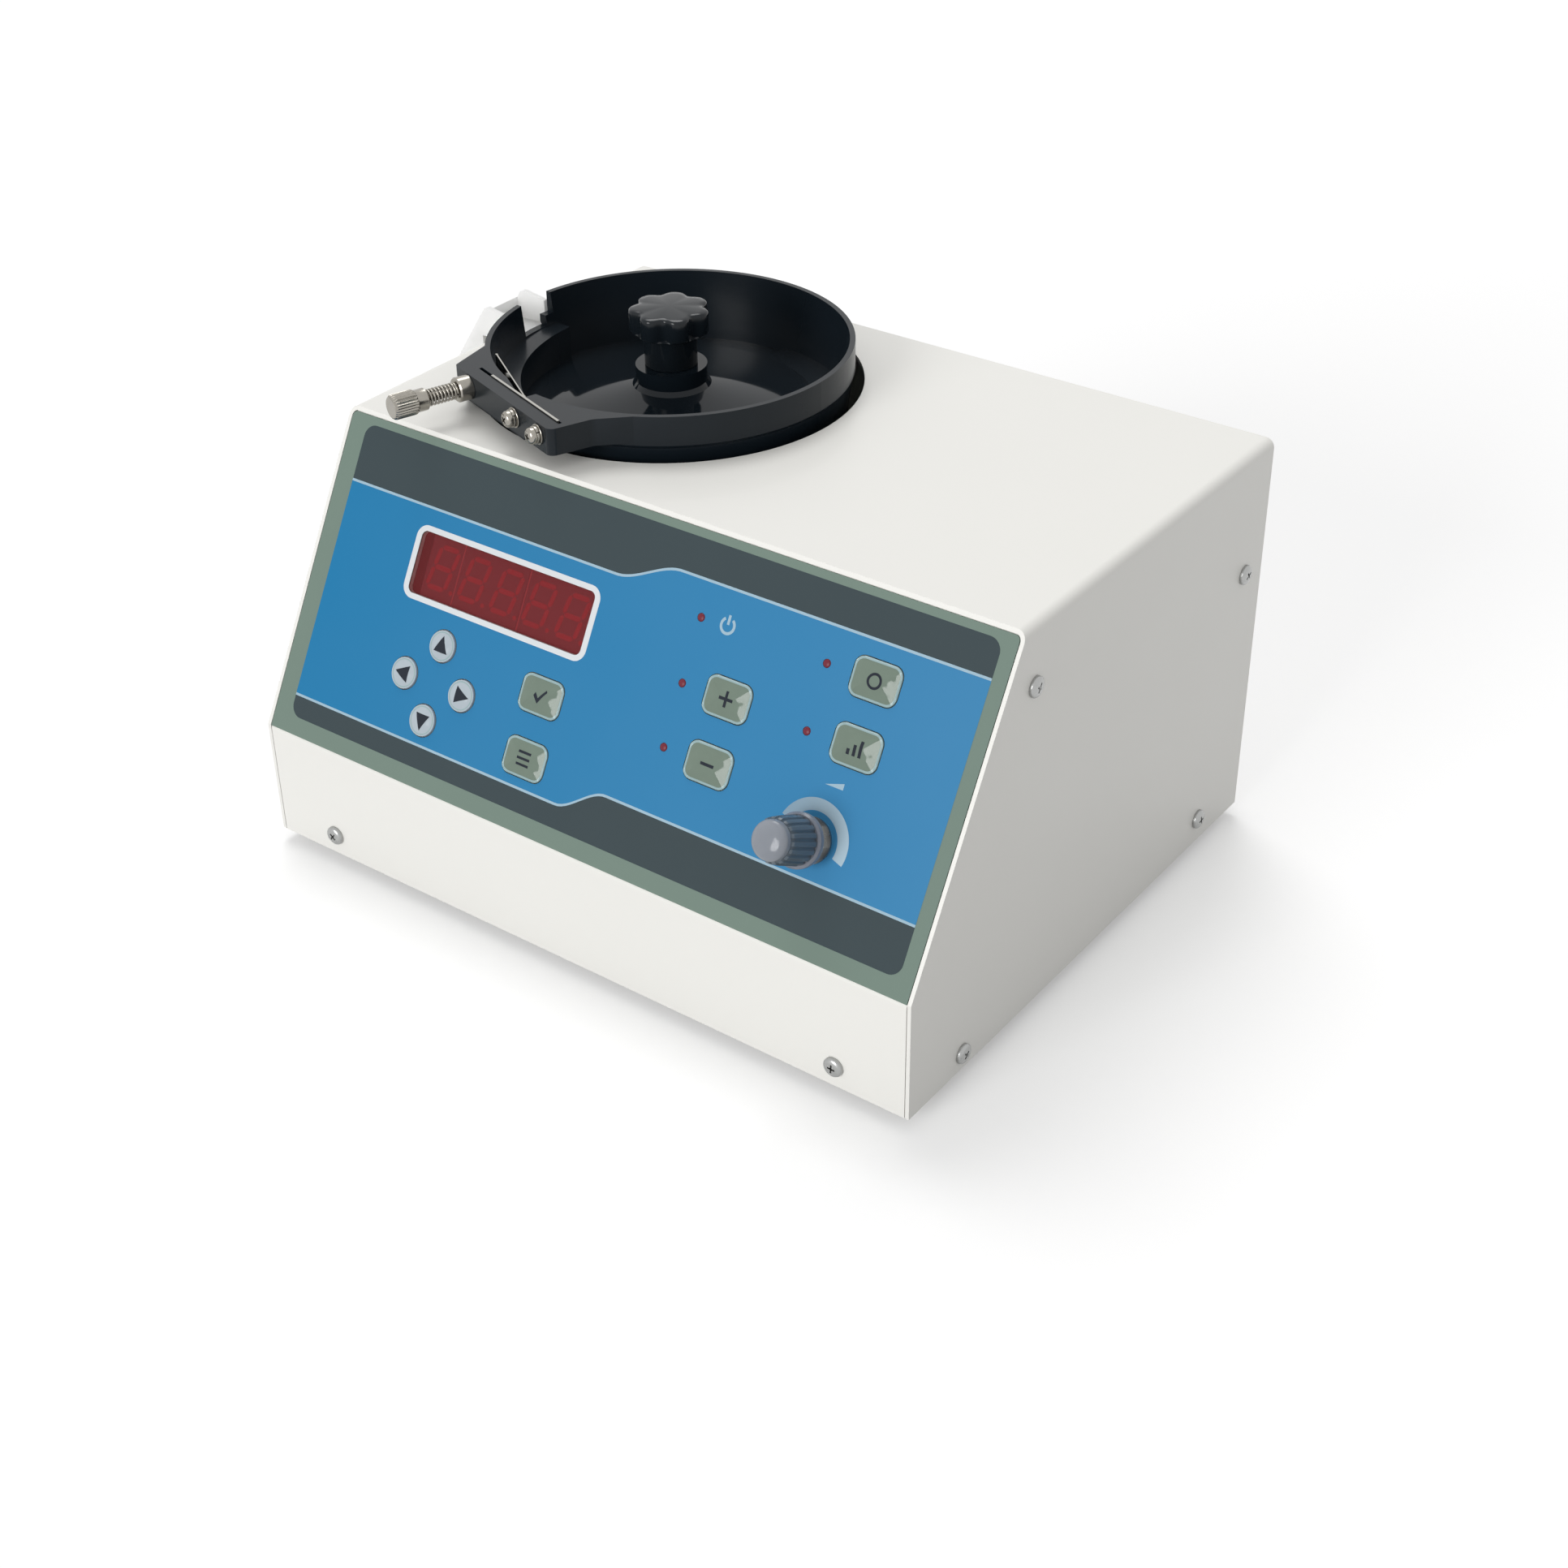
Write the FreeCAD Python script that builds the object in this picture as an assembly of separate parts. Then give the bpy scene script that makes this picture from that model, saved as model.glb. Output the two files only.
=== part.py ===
import FreeCAD, Part
import math
import os

from FreeCAD import Placement, Rotation, Vector

# Seed counter: a sheet-metal case with a sloping membrane panel. A vibrating bowl lines the seeds
# up on a spiral track, and a hung chute drops them one by one past a light gate.
# Millimetres. X runs right, Y back, Z up. The origin is on the table, under the front left foot.

# Case
CASE_W = 240.0
CASE_D = 188.0
CASE_H = 128.0
LIP_H = 39.0                # upright front below the slope
SLOPE_BACK = 50.5           # how far back the slope's top edge lies
SHEET = 1.2
SEAM = 0.25                 # gap where two sheets meet edge to edge
BEND_R = 3.0                # outside of the cover's bends
FOLD_R = 1.5                # outside of the front panel's fold
FLANGE_H = 16.0             # upturned edges of the tray
RETURN_W = 18.0             # inturned edges of the rear wall
PANEL_EAR_W = 26.0          # side ears of the front panel
PANEL_EAR_V = 34.0          # where the ears start, up the slope
FOOT_H = 4.0
FOOT_R = 8.0
FOOT_INSET = 24.0
VENT_L = 26.0
VENT_W = 2.6
VENT_STEP = 8.0
VENT_COUNT = 7

LEFT = -FOOT_INSET
RIGHT = LEFT + CASE_W
MIDDLE = (LEFT + RIGHT) / 2
FRONT = -FOOT_INSET
BACK = FRONT + CASE_D
CASE_BOTTOM = FOOT_H
CASE_TOP = FOOT_H + CASE_H

# Screws
SCREW_R = 1.5
SCREW_HEAD_R = 3.1
SCREW_HEAD_H = 1.7
SCREW_L = 7.0
HOLE_PLAY = 0.1             # radial play of a screw in its hole
SIDE_SCREWS = [(55.4, 109.4), (26.2, 5.7)]      # from the front face, from the bottom
REAR_SIDE_SCREWS = [(11.5, 88.2), (27.0, 8.6)]  # from the back face, from the bottom
FRONT_SCREW_INSET = 24.6
FRONT_SCREW_H = 6.9

# Membrane panel. Places on it are measured from the left face and up the slope.
OVERLAY_T = 0.5
WINDOW_X = 73.5
WINDOW_V = 64.2
WINDOW_W = 66.9
WINDOW_H = 18.8
WINDOW_R = 2.0
FIT_GAP = 0.1               # clearance round a piece let into the panel
DIGIT_PITCH = 12.6
DIGIT_H = 19.0
DIGIT_T = 8.0
DIGIT_GAP = 0.15
DIGIT_START = 43.1
BOARD_DEPTH = 10.0          # from the panel's outer face to the board
BOARD_T = 1.6
BOARD_X = (28.0, 224.0)
BOARD_V = (9.0, 93.0)
BOARD_POSTS_X = (33.0, 125.0, 219.0)
BOARD_POSTS_V = (13.5, 89.0)
POST_FLATS = 6.0

ARROW_R = 4.8
ARROW_KEYS = {"key_up": (58.7, 43.0), "key_down": (58.7, 20.0),
              "key_left": (47.4, 31.3), "key_right": (70.3, 31.3)}
KEY_W = 15.2
KEY_H = 11.2
KEY_R = 3.0
PLAIN_KEYS = {"key_set": (98.2, 40.0), "key_read": (98.6, 21.2),
              "key_adjust_1": (159.1, 58.5), "key_adjust_2": (159.2, 39.6),
              "key_zero": (201.9, 77.1), "key_count": (202.1, 58.7)}
KEY_RISE = 0.9              # crown of a key above the overlay
KEY_GAP = 0.3               # all round a key
KEY_RIM = 1.0               # how far its flange reaches under the sheet
KEY_FLANGE_T = 1.2
KEY_STEM_W = 3.0
KEY_TRAVEL = 0.5
SWITCH_W = 6.0
SWITCH_T = 3.5
PLUNGER_R = 1.7
LED_R = 1.2
LED_CROWN = 0.35
LED_SPOTS = [(143.4, 77.3), (143.4, 58.3), (143.4, 39.6), (186.0, 77.2), (186.0, 58.2)]

# Speed knob
KNOB_X = 197.0
KNOB_V = 31.0
POT_R = 8.0
POT_T = 7.6
BUSH_R = 3.5
BUSH_L = 5.0                # above the overlay
SHAFT_R = 3.0
RUN_PLAY = 0.05             # radial play of a turning fit
WASHER_R = 6.5
WASHER_T = 0.8
NUT_FLATS = 10.0
NUT_T = 2.2
KNOB_LIFT = 6.0             # knob's underside above the overlay
KNOB_FRONT = 23.0           # knob's front above the overlay
SKIRT_R = 7.7
SKIRT_T = 2.4
GRIP_R = 6.9
CAP_R = 5.7
CAP_T = 3.4
FLUTE_COUNT = 18
FLUTE_R = 0.7

# Bowl, measured from its axis
BOWL_X = 68.2               # from the left face
BOWL_Y = 120.8              # from the front face
RIM_RISE = 13.2             # rim above the cover
BOWL_R = 56.7
COVER_HOLE_R = BOWL_R + 2.9
WALL_T = 1.7
WALL_DRAFT = 2.5            # how much the inside narrows by the floor
FLOOR_DROP = 22.0           # floor's edge below the rim
FLOOR_T = 3.0
BAND_H = 9.2                # full-width band below the rim
BOSS_BASE_R = 12.25
BOSS_R = 11.1
BOSS_FLOOR_DROP = 14.4      # floor at the boss, below the rim
BOSS_H = 6.4
TRACK_START = 85.0          # degrees from the X axis, and it climbs clockwise
TRACK_SWEEP = 273.0
TRACK_START_R = BOWL_R - 14.2   # inner edge of the ledge where it leaves the floor
TRACK_END_R = BOWL_R - 9.2
TRACK_START_DROP = 20.8     # ledge below the rim at its start
TRACK_END_DROP = 10.0       # and at the outlet
OUTLET_NEAR = 7.2           # outlet notch in front of the axis
OUTLET_FAR = 6.8            # and behind it
OUTLET_STEP = 3.3
STUD_R = 2.5
STUD_PLAY = 0.3

# Star knob
LOBE_COUNT = 7
LOBE_R = 12.5
SCALLOP_R = 3.4
SCALLOP_OUT = 13.9
STEM_R = 8.15
STEM_H = 10.8
HEAD_H = 6.4
DOME_H = 1.4
INSERT_R = 4.5
INSERT_H = 8.0
STUD_REACH = 9.0            # thread inside the knob

# Gate on the bowl's front left. Its own frame: U along the face, D inwards from the face, Z up.
GATE_TURN = -19.2
FACE_OFFSET = BOWL_R + 6.4      # face from the bowl's axis
BLOCK_LEFT = -20.9
BLOCK_RIGHT = 35.2
FLANK_LEFT = -28.4          # where the block's ends run into the bowl's wall
FLANK_RIGHT = 41.4
SHOULDER_D = 13.9           # depth at which the block's right end turns towards the wall
BLOCK_LIFT = 0.8            # block above the cover
BLOCK_DROP = 8.4            # height of the face and of the right end
FRONT_DEEP = 3.4            # the block is cut away under the face this far back
SLOT_D = 5.1
SLOT_W = 1.1
SLOT_U = (-14.5, 33.2)
STRIP_T = 0.8
STRIP_U = (-7.2, 32.0)
STRIP_BELOW = 3.2           # strip below the clamp screws' middle
STRIP_PROUD = 0.4           # strip above the rim
LEAF_ROOT = (10.0, 6.3)
LEAF_TIP = (-21.5, 14.4)
LEAF_T = 0.4
LEAF_DROP = 11.2            # height of the blade
POCKET_GAP = 1.6            # between the blade and the block behind it
CLAMP_U = (15.1, 28.9)
CLAMP_DROP = 3.5            # clamp screws below the rim
CLAMP_WASHER_R = 3.1
CLAMP_WASHER_T = 1.6        # flat and spring washer together
CLAMP_HEAD_R = 2.5
CLAMP_HEAD_H = 2.1
THUMB_U = -12.9
THUMB_DROP = 4.1
THREAD_R = 1.5
BUSHING_R = 3.8
BUSHING_L = 4.5
BUSHING_NOSE_R = 2.4
BUSHING_NOSE_L = 4.0
THUMB_HEAD_R = 3.8
THUMB_SHOULDER = 14.6       # head's inner end, out from the face
THUMB_END = 26.0
THUMB_COLLAR_R = 3.4
THUMB_COLLAR_L = 3.6
KNURL_COUNT = 18
KNURL_W = 0.7
COIL_R = 2.3
COIL_WIRE_R = 0.35
COIL_TURNS = 7
TIP_R = 1.3
TIP_GAP = 0.3
THREAD_END = 3.5            # thread ends this far inside the face

# Feeder under the bowl
ISOLATOR_R = 9.0
ISOLATOR_H = 13.8
ISOLATOR_RING = BOWL_R - 24.7
BASE_R = BOWL_R - 12.7
BASE_T = 24.0
CORE_W = 46.0
CORE_T = 20.0
CORE_H = 42.0
CORE_YOKE = 8.0
CORE_LEG = 7.0
COIL_T = 7.5
COIL_H = 26.0
AIR_GAP = 0.8
ARMATURE_T = 8.0
TABLE_R = BOWL_R - 10.7
TABLE_T = 7.0
TABLE_HUB_R = 13.0
SPRING_RING = TABLE_R - 9.0
SPRING_COUNT = 3
SPRING_TILT = 14.0
SPRING_W = 13.0
SPRING_T = 1.8
CLAMP_L = 12.0
CLAMP_T = 6.0

# Chute on the left side
CHUTE_W = 19.0
CHUTE_T = 1.6
CHUTE_OFF = 1.9             # tube from the side of the case
CHUTE_DEEP = 18.0
CHUTE_BOTTOM = 48.0         # above the table
CHUTE_REACH = 1.8           # trough's end from the bowl
TROUGH_LIFT = 0.4           # trough's underside above the cover
TROUGH_T = 1.0
MOUTH_RISE = 9.0            # trough's walls above the cover, at the bowl
HOOD_RISE = 10.5            # hood above the cover, at the case's edge
HOOD_DROP = 19.0            # hood's outer edge below the cover
SPOUT_SLANT = 12.0
SENSOR_L = 12.0
SENSOR_T = 6.0
SENSOR_H = 18.0
BRACKET_Z = (60.0, 84.0)
BRACKET_T = 1.5
BRACKET_PLAY = 0.3
TAB_W = 11.0
HINGE_R = 2.2
HASP_PIN_R = 1.0
HASP_H = 12.0
HASP_T = 1.2
HASP_PLAY = 0.4
HOOK_L = 4.0

# Electrics
TRANSFORMER = (44.0, 52.0, 40.0)
TRANSFORMER_SPOT = (RIGHT - 58.0, BACK - 86.0)  # its middle, in X and Y
TRANSFORMER_FOOT = 9.0
WINDING_OUT = 9.0
INLET_W = 27.0
INLET_H = 19.6
INLET_T = 15.0
INLET_FLANGE = 2.0
INLET_X = RIGHT - 48.0
PIN_DEEP = 4.5              # ends of the pins behind the wall
SWITCH_X = RIGHT - 88.0
SWITCH_FLANGE = 1.8
SWITCH_DEEP = 11.0
SWITCH_WALL = 1.5
ROCKER_W = 13.0
ROCKER_H = 19.0
ROCKER_SWING = 8.0
PIVOT_R = 1.2
PIVOT_REACH = 1.2           # pivot past each side of the rocker
REAR_Z = 34.0
FUSE_X = RIGHT - 16.0
FUSE_R = 6.0
FUSE_DEEP = 22.0
FUSE_CAP_R = 7.6
FUSE_CAP_L = 7.6
FUSE_RIM_T = 1.8

SLOPE_FOOT = CASE_BOTTOM + LIP_H
SLOPE_RISE = CASE_TOP - SLOPE_FOOT
SLOPE = math.atan2(SLOPE_RISE, SLOPE_BACK)
PANEL_T = OVERLAY_T + SHEET
UNDER_TOP = CASE_TOP - SHEET - SEAM

AXIS = Vector(LEFT + BOWL_X, FRONT + BOWL_Y, 0)
RIM_Z = CASE_TOP + RIM_RISE
FLOOR_Z = RIM_Z - FLOOR_DROP
SEAT_Z = FLOOR_Z - FLOOR_T
BOWL_R_IN = BOWL_R - WALL_T
BOSS_FLOOR_Z = RIM_Z - BOSS_FLOOR_DROP
BOSS_TOP = BOSS_FLOOR_Z + BOSS_H
BORE_R = STUD_R + STUD_PLAY
OUTLET_Z = RIM_Z - TRACK_END_DROP

PANEL = Placement(Vector(LEFT, FRONT, SLOPE_FOOT), Rotation(Vector(1, 0, 0), math.degrees(SLOPE)))
GATE = Placement(AXIS, Rotation(Vector(0, 0, 1), GATE_TURN)).multiply(
    Placement(Vector(0, -FACE_OFFSET, 0), Rotation()))
LOOK_OUT = Rotation(Vector(1, 0, 0), 90)      # turns local Z to -Y, out of the front or the gate


def box(x0, x1, y0, y1, z0, z1):
    return Part.makeBox(x1 - x0, y1 - y0, z1 - z0, Vector(x0, y0, z0))


def rod(radius, z0, z1, x=0.0, y=0.0):
    return Part.makeCylinder(radius, z1 - z0, Vector(x, y, z0))


def fuse(first, *others):
    return first.multiFuse(list(others)).removeSplitter()


def cut(body, *tools):
    return body.cut(Part.makeCompound(list(tools)))


def group(shapes):
    return Part.makeCompound(list(shapes))


def moved(shape, x=0.0, y=0.0, z=0.0, turn=None):
    """The shape turned by a rotation and then shifted."""
    placed = shape.copy()
    placed.Placement = Placement(Vector(x, y, z), turn or Rotation()).multiply(placed.Placement)
    return placed


def placed_in(frame, shape, x=0.0, y=0.0, z=0.0, turn=None):
    """The shape set at x, y, z of a slanted frame."""
    placed = moved(shape, x, y, z, turn)
    placed.Placement = frame.multiply(placed.Placement)
    return placed


def on_panel(shape, x=0.0, v=0.0, out=0.0):
    return placed_in(PANEL, shape, x, v, out)


def outline(points, radii):
    """Closed flat wire through the points, each corner rounded by its own radius."""
    corners = []
    for i, here in enumerate(points):
        before = (points[i - 1] - here).normalize()
        after = (points[(i + 1) % len(points)] - here).normalize()
        if radii[i] == 0:
            corners.append((here, None, here))
            continue
        half = before.getAngle(after) / 2
        start = here + before * (radii[i] / math.tan(half))
        end = here + after * (radii[i] / math.tan(half))
        inwards = (before + after).normalize()
        middle = here + inwards * (radii[i] / math.sin(half) - radii[i])
        corners.append((start, middle, end))
    edges = []
    for i, (start, middle, end) in enumerate(corners):
        if middle is not None:
            edges.append(Part.Arc(start, middle, end).toShape())
        following = corners[(i + 1) % len(corners)][0]
        if end.distanceToPoint(following) > 1e-6:
            edges.append(Part.makeLine(end, following))
    return Part.Wire(edges)


def side_prism(points, radii, x0, x1):
    """A side view, given as (y, z) points, drawn out from x0 to x1."""
    wire = outline([Vector(x0, y, z) for y, z in points], radii)
    return Part.Face(wire).extrude(Vector(x1 - x0, 0, 0))


def plan_prism(points, radii, z0, z1):
    """A plan, given as (x, y) points, drawn up from z0 to z1."""
    wire = outline([Vector(x, y, z0) for x, y in points], radii)
    return Part.Face(wire).extrude(Vector(0, 0, z1 - z0))


def hexagon(across_flats, z0, z1):
    """Six-sided bar on the Z axis."""
    corner = across_flats / 2 / math.cos(math.pi / 6)
    turns = [math.pi / 3 * i for i in range(6)]
    return plan_prism([(corner * math.cos(a), corner * math.sin(a)) for a in turns], [0] * 6, z0, z1)


def rounded_plate(width, height, radius, z0, z1):
    w = width / 2
    h = height / 2
    return plan_prism([(-w, -h), (w, -h), (w, h), (-w, h)], [radius] * 4, z0, z1)


def turned(points):
    """Solid of revolution round Z, from closed (r, z) points."""
    wire = Part.makePolygon([Vector(r, 0, z) for r, z in points + points[:1]])
    return Part.Face(wire).revolve(Vector(0, 0, 0), Vector(0, 0, 1), 360)


def slope_z(y, depth=0.0):
    """Height of a plane that lies this deep under the slope, at y."""
    return SLOPE_FOOT + (y - FRONT) * math.tan(SLOPE) - depth / math.cos(SLOPE)


def slope_y(z, depth=0.0):
    return FRONT + (z - SLOPE_FOOT) / math.tan(SLOPE) + depth / math.sin(SLOPE)


def pan_screw(length=SCREW_L, head_r=SCREW_HEAD_R, head_h=SCREW_HEAD_H):
    """Pan-head screw, its head's seat at Z = 0 and its shank below."""
    return turned([(0, -length), (SCREW_R, -length), (SCREW_R, 0), (head_r, 0), (head_r, head_h * 0.5),
                   (head_r * 0.6, head_h), (0, head_h)])


# Case

def side_screw_places():
    """(x, y, z, turn) of every screw head in the cover's sides."""
    spots = [(FRONT + from_front, from_bottom) for from_front, from_bottom in SIDE_SCREWS]
    spots += [(BACK - from_back, from_bottom) for from_back, from_bottom in REAR_SIDE_SCREWS]
    for y, from_bottom in spots:
        for x, swing in ((LEFT, -90), (RIGHT, 90)):
            yield x, y, CASE_BOTTOM + from_bottom, Rotation(Vector(0, 1, 0), swing)


def front_screw_places():
    for x in (LEFT + FRONT_SCREW_INSET, RIGHT - FRONT_SCREW_INSET):
        yield x, FRONT, CASE_BOTTOM + FRONT_SCREW_H, LOOK_OUT


def bracket_screw_places():
    turn = Rotation(Vector(0, 1, 0), -90)
    middle = (BRACKET_Z[0] + BRACKET_Z[1]) / 2
    half = cheek_offset() + BRACKET_T + TAB_W / 2
    for side in (-1, 1):
        yield LEFT - BRACKET_T, AXIS.y + side * half, middle, turn


def screw_holes():
    drill = rod(SCREW_R + HOLE_PLAY, -SCREW_L - 1, 1)
    places = list(side_screw_places()) + list(front_screw_places()) + list(bracket_screw_places())
    return [moved(drill, x, y, z, turn) for x, y, z, turn in places]


def case_screws():
    screw = pan_screw()
    places = list(side_screw_places()) + list(front_screw_places()) + list(bracket_screw_places())
    return group(moved(screw, x, y, z, turn) for x, y, z, turn in places)


def rear_cutouts():
    """Holes in the rear wall for the inlet, the switch and the fuse holder."""
    reach = (BACK - SHEET - 1, BACK + 1)
    inlet = box(INLET_X - INLET_W / 2, INLET_X + INLET_W / 2, *reach,
                REAR_Z - INLET_H / 2, REAR_Z + INLET_H / 2)
    frame_w = ROCKER_W / 2 + SWITCH_WALL + FIT_GAP
    frame_h = ROCKER_H / 2 + SWITCH_WALL + FIT_GAP
    switch = box(SWITCH_X - frame_w, SWITCH_X + frame_w, *reach, REAR_Z - frame_h, REAR_Z + frame_h)
    fuse_hole = moved(rod(FUSE_R, -SHEET - 1, 1), FUSE_X, BACK, REAR_Z, Rotation(Vector(1, 0, 0), -90))
    return [inlet, switch, fuse_hole]


def foot_places():
    for x in (LEFT + FOOT_INSET, RIGHT - FOOT_INSET):
        for y in (FRONT + FOOT_INSET, BACK - FOOT_INSET):
            yield x, y


def vents():
    slot = rounded_plate(VENT_L, VENT_W, 0, CASE_BOTTOM - 1, CASE_BOTTOM + SHEET + 1)
    first = TRANSFORMER_SPOT[1] - VENT_STEP * (VENT_COUNT - 1) / 2
    beside = TRANSFORMER_SPOT[0] - TRANSFORMER[0] / 2 - VENT_L / 2 - 5
    return [moved(slot, beside, first + VENT_STEP * i) for i in range(VENT_COUNT)]


def cover_room():
    """The room between the cover's sides and under its rounded corners."""
    inset = SHEET + SEAM
    width = CASE_W - 2 * inset
    height = UNDER_TOP + BEND_R
    radius = BEND_R - inset
    hollow = rounded_plate(width, 2 * height, radius, -BACK - 1, 1 - FRONT)
    return moved(hollow, MIDDLE, 0, UNDER_TOP - height, LOOK_OUT)


def base_tray():
    """Floor with upturned edges, and the rear wall with its inturned edges."""
    x0 = LEFT + SHEET + SEAM
    x1 = RIGHT - SHEET - SEAM
    y0 = FRONT + SHEET
    floor_top = CASE_BOTTOM + SHEET
    floor = box(x0, x1, y0, BACK, CASE_BOTTOM, floor_top)
    front = box(x0, x1, y0, y0 + SHEET, CASE_BOTTOM, CASE_BOTTOM + FLANGE_H)
    rear = box(x0, x1, BACK - SHEET, BACK, CASE_BOTTOM, UNDER_TOP)
    edges = []
    for x in (x0, x1 - SHEET):
        edges.append(box(x, x + SHEET, y0, BACK, CASE_BOTTOM, CASE_BOTTOM + FLANGE_H))
        edges.append(box(x, x + SHEET, BACK - RETURN_W, BACK, CASE_BOTTOM, UNDER_TOP))
    foot_holes = [rod(SCREW_R + HOLE_PLAY, CASE_BOTTOM - 1, floor_top + 1, x, y)
                  for x, y in foot_places()]
    tray = fuse(floor, front, rear, *edges).common(cover_room())
    return cut(tray, *screw_holes(), *rear_cutouts(), *foot_holes, *vents())


def key_openings(gap, z0, z1):
    """One prism per key, wider than the key by the gap on every side."""
    holes = []
    for x, v in ARROW_KEYS.values():
        holes.append(rod(ARROW_R + gap, z0, z1, x, v))
    for x, v in PLAIN_KEYS.values():
        holes.append(moved(rounded_plate(KEY_W + 2 * gap, KEY_H + 2 * gap, KEY_R + gap, z0, z1), x, v))
    return holes


def panel_openings(z0, z1):
    """Everything cut through the sloping sheet and its overlay, in the panel's frame."""
    window = rounded_plate(WINDOW_W + 2 * FIT_GAP, WINDOW_H + 2 * FIT_GAP, WINDOW_R + FIT_GAP, z0, z1)
    holes = key_openings(KEY_GAP, z0, z1)
    holes.append(moved(window, WINDOW_X, WINDOW_V))
    holes.append(rod(BUSH_R + FIT_GAP, z0, z1, KNOB_X, KNOB_V))
    holes.extend(rod(LED_R + FIT_GAP, z0, z1, x, v) for x, v in LED_SPOTS)
    return [on_panel(hole) for hole in holes]


def front_panel():
    """Folded sheet: the upright front, the slope, and an ear at each side of the slope."""
    x0 = LEFT + SHEET + SEAM
    x1 = RIGHT - SHEET - SEAM
    under = PANEL_T
    bend_in = slope_z(FRONT + SHEET, under)
    profile = [(FRONT, CASE_BOTTOM), (FRONT, slope_z(FRONT, OVERLAY_T)),
               (slope_y(UNDER_TOP, OVERLAY_T), UNDER_TOP), (slope_y(UNDER_TOP, under), UNDER_TOP),
               (FRONT + SHEET, bend_in), (FRONT + SHEET, CASE_BOTTOM)]
    sheet = side_prism(profile, [0, FOLD_R, 0, 0, FOLD_R - SHEET, 0], x0, x1)
    ear_foot = SLOPE_FOOT + PANEL_EAR_V
    ear = [(slope_y(ear_foot, under), ear_foot), (slope_y(UNDER_TOP, under), UNDER_TOP),
           (slope_y(UNDER_TOP, under) + PANEL_EAR_W, UNDER_TOP),
           (slope_y(ear_foot, under) + PANEL_EAR_W, ear_foot)]
    ears = [side_prism(ear, [0, 0, 0, 0], x, x + SHEET) for x in (x0, x1 - SHEET)]
    panel = fuse(sheet, *ears).common(cover_room())
    return cut(panel, *screw_holes(), *panel_openings(-PANEL_T - 2, 1))


def top_cover():
    """Top and both sides folded from one sheet, cut away along the slope."""
    inside = SHEET
    points = [(LEFT, CASE_BOTTOM), (LEFT, CASE_TOP), (RIGHT, CASE_TOP), (RIGHT, CASE_BOTTOM),
              (RIGHT - inside, CASE_BOTTOM), (RIGHT - inside, CASE_TOP - SHEET),
              (LEFT + inside, CASE_TOP - SHEET), (LEFT + inside, CASE_BOTTOM)]
    radii = [0, BEND_R, BEND_R, 0, 0, BEND_R - SHEET, BEND_R - SHEET, 0]
    wire = outline([Vector(x, FRONT, z) for x, z in points], radii)
    shell = Part.Face(wire).extrude(Vector(0, CASE_D, 0))
    above = CASE_TOP + 1
    front_wedge = [(FRONT, SLOPE_FOOT), (slope_y(above), above), (FRONT - 1, above), (FRONT - 1, SLOPE_FOOT)]
    wedge = side_prism(front_wedge, [0, 0, 0, 0], LEFT - 1, RIGHT + 1)
    bowl_hole = rod(COVER_HOLE_R, CASE_TOP - SHEET - 2, above, AXIS.x, AXIS.y)
    return cut(shell, wedge, bowl_hole, *screw_holes())


def panel_overlay():
    """Printed membrane that covers the slope from edge to edge."""
    edge = SHEET + SEAM
    top_v = (CASE_TOP - SHEET - SLOPE_FOOT) / math.sin(SLOPE) - SEAM
    sheet = on_panel(box(edge, CASE_W - edge, 0, top_v, -OVERLAY_T, 0))
    return cut(sheet.common(cover_room()), *panel_openings(-OVERLAY_T - 1, 1))


def feet():
    peg_top = FOOT_H + SHEET + 1
    foot = turned([(0, 0), (FOOT_R - 0.8, 0), (FOOT_R, FOOT_H), (SCREW_R, FOOT_H), (SCREW_R, peg_top),
                   (0, peg_top)])
    return group(moved(foot, x, y) for x, y in foot_places())


# Membrane panel

def display_window():
    plate = rounded_plate(WINDOW_W, WINDOW_H, WINDOW_R, -PANEL_T, -FIT_GAP)
    return on_panel(plate, WINDOW_X, WINDOW_V)


def digit_module(first, count):
    """Block of LED digits standing on the board behind the window."""
    x0 = DIGIT_START + first * DIGIT_PITCH + DIGIT_GAP / 2
    x1 = DIGIT_START + (first + count) * DIGIT_PITCH - DIGIT_GAP / 2
    v0 = WINDOW_V - DIGIT_H / 2
    return on_panel(box(x0, x1, v0, v0 + DIGIT_H, -BOARD_DEPTH, DIGIT_T - BOARD_DEPTH))


def post_places():
    return [(x, v) for x in BOARD_POSTS_X for v in BOARD_POSTS_V]


def control_board():
    board = box(*BOARD_X, *BOARD_V, -BOARD_DEPTH - BOARD_T, -BOARD_DEPTH)
    holes = [rod(SCREW_R + HOLE_PLAY, -BOARD_DEPTH - BOARD_T - 1, 0, x, v) for x, v in post_places()]
    return on_panel(cut(board, *holes))


def board_spacers():
    post = cut(hexagon(POST_FLATS, -BOARD_DEPTH, -PANEL_T), rod(SCREW_R, -BOARD_DEPTH - 1, -PANEL_T - 0.5))
    return group(on_panel(post, x, v) for x, v in post_places())


def board_screws():
    upside_down = Rotation(Vector(1, 0, 0), 180)
    screw = moved(pan_screw(), 0, 0, -BOARD_DEPTH - BOARD_T, upside_down)
    return group(on_panel(screw, x, v) for x, v in post_places())


def key_places():
    return list(ARROW_KEYS.values()) + list(PLAIN_KEYS.values())


def stem_end():
    """Depth of a key's stem at rest, a travel and a gap short of its switch."""
    return BOARD_DEPTH - SWITCH_T - PLUNGER_R - KEY_TRAVEL - KEY_GAP


def key_switches():
    half = SWITCH_W / 2
    body = box(-half, half, -half, half, -BOARD_DEPTH, SWITCH_T - BOARD_DEPTH)
    button = rod(PLUNGER_R, SWITCH_T - BOARD_DEPTH, SWITCH_T + PLUNGER_R - BOARD_DEPTH)
    switch = fuse(body, button)
    return group(on_panel(switch, x, v) for x, v in key_places())


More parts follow.
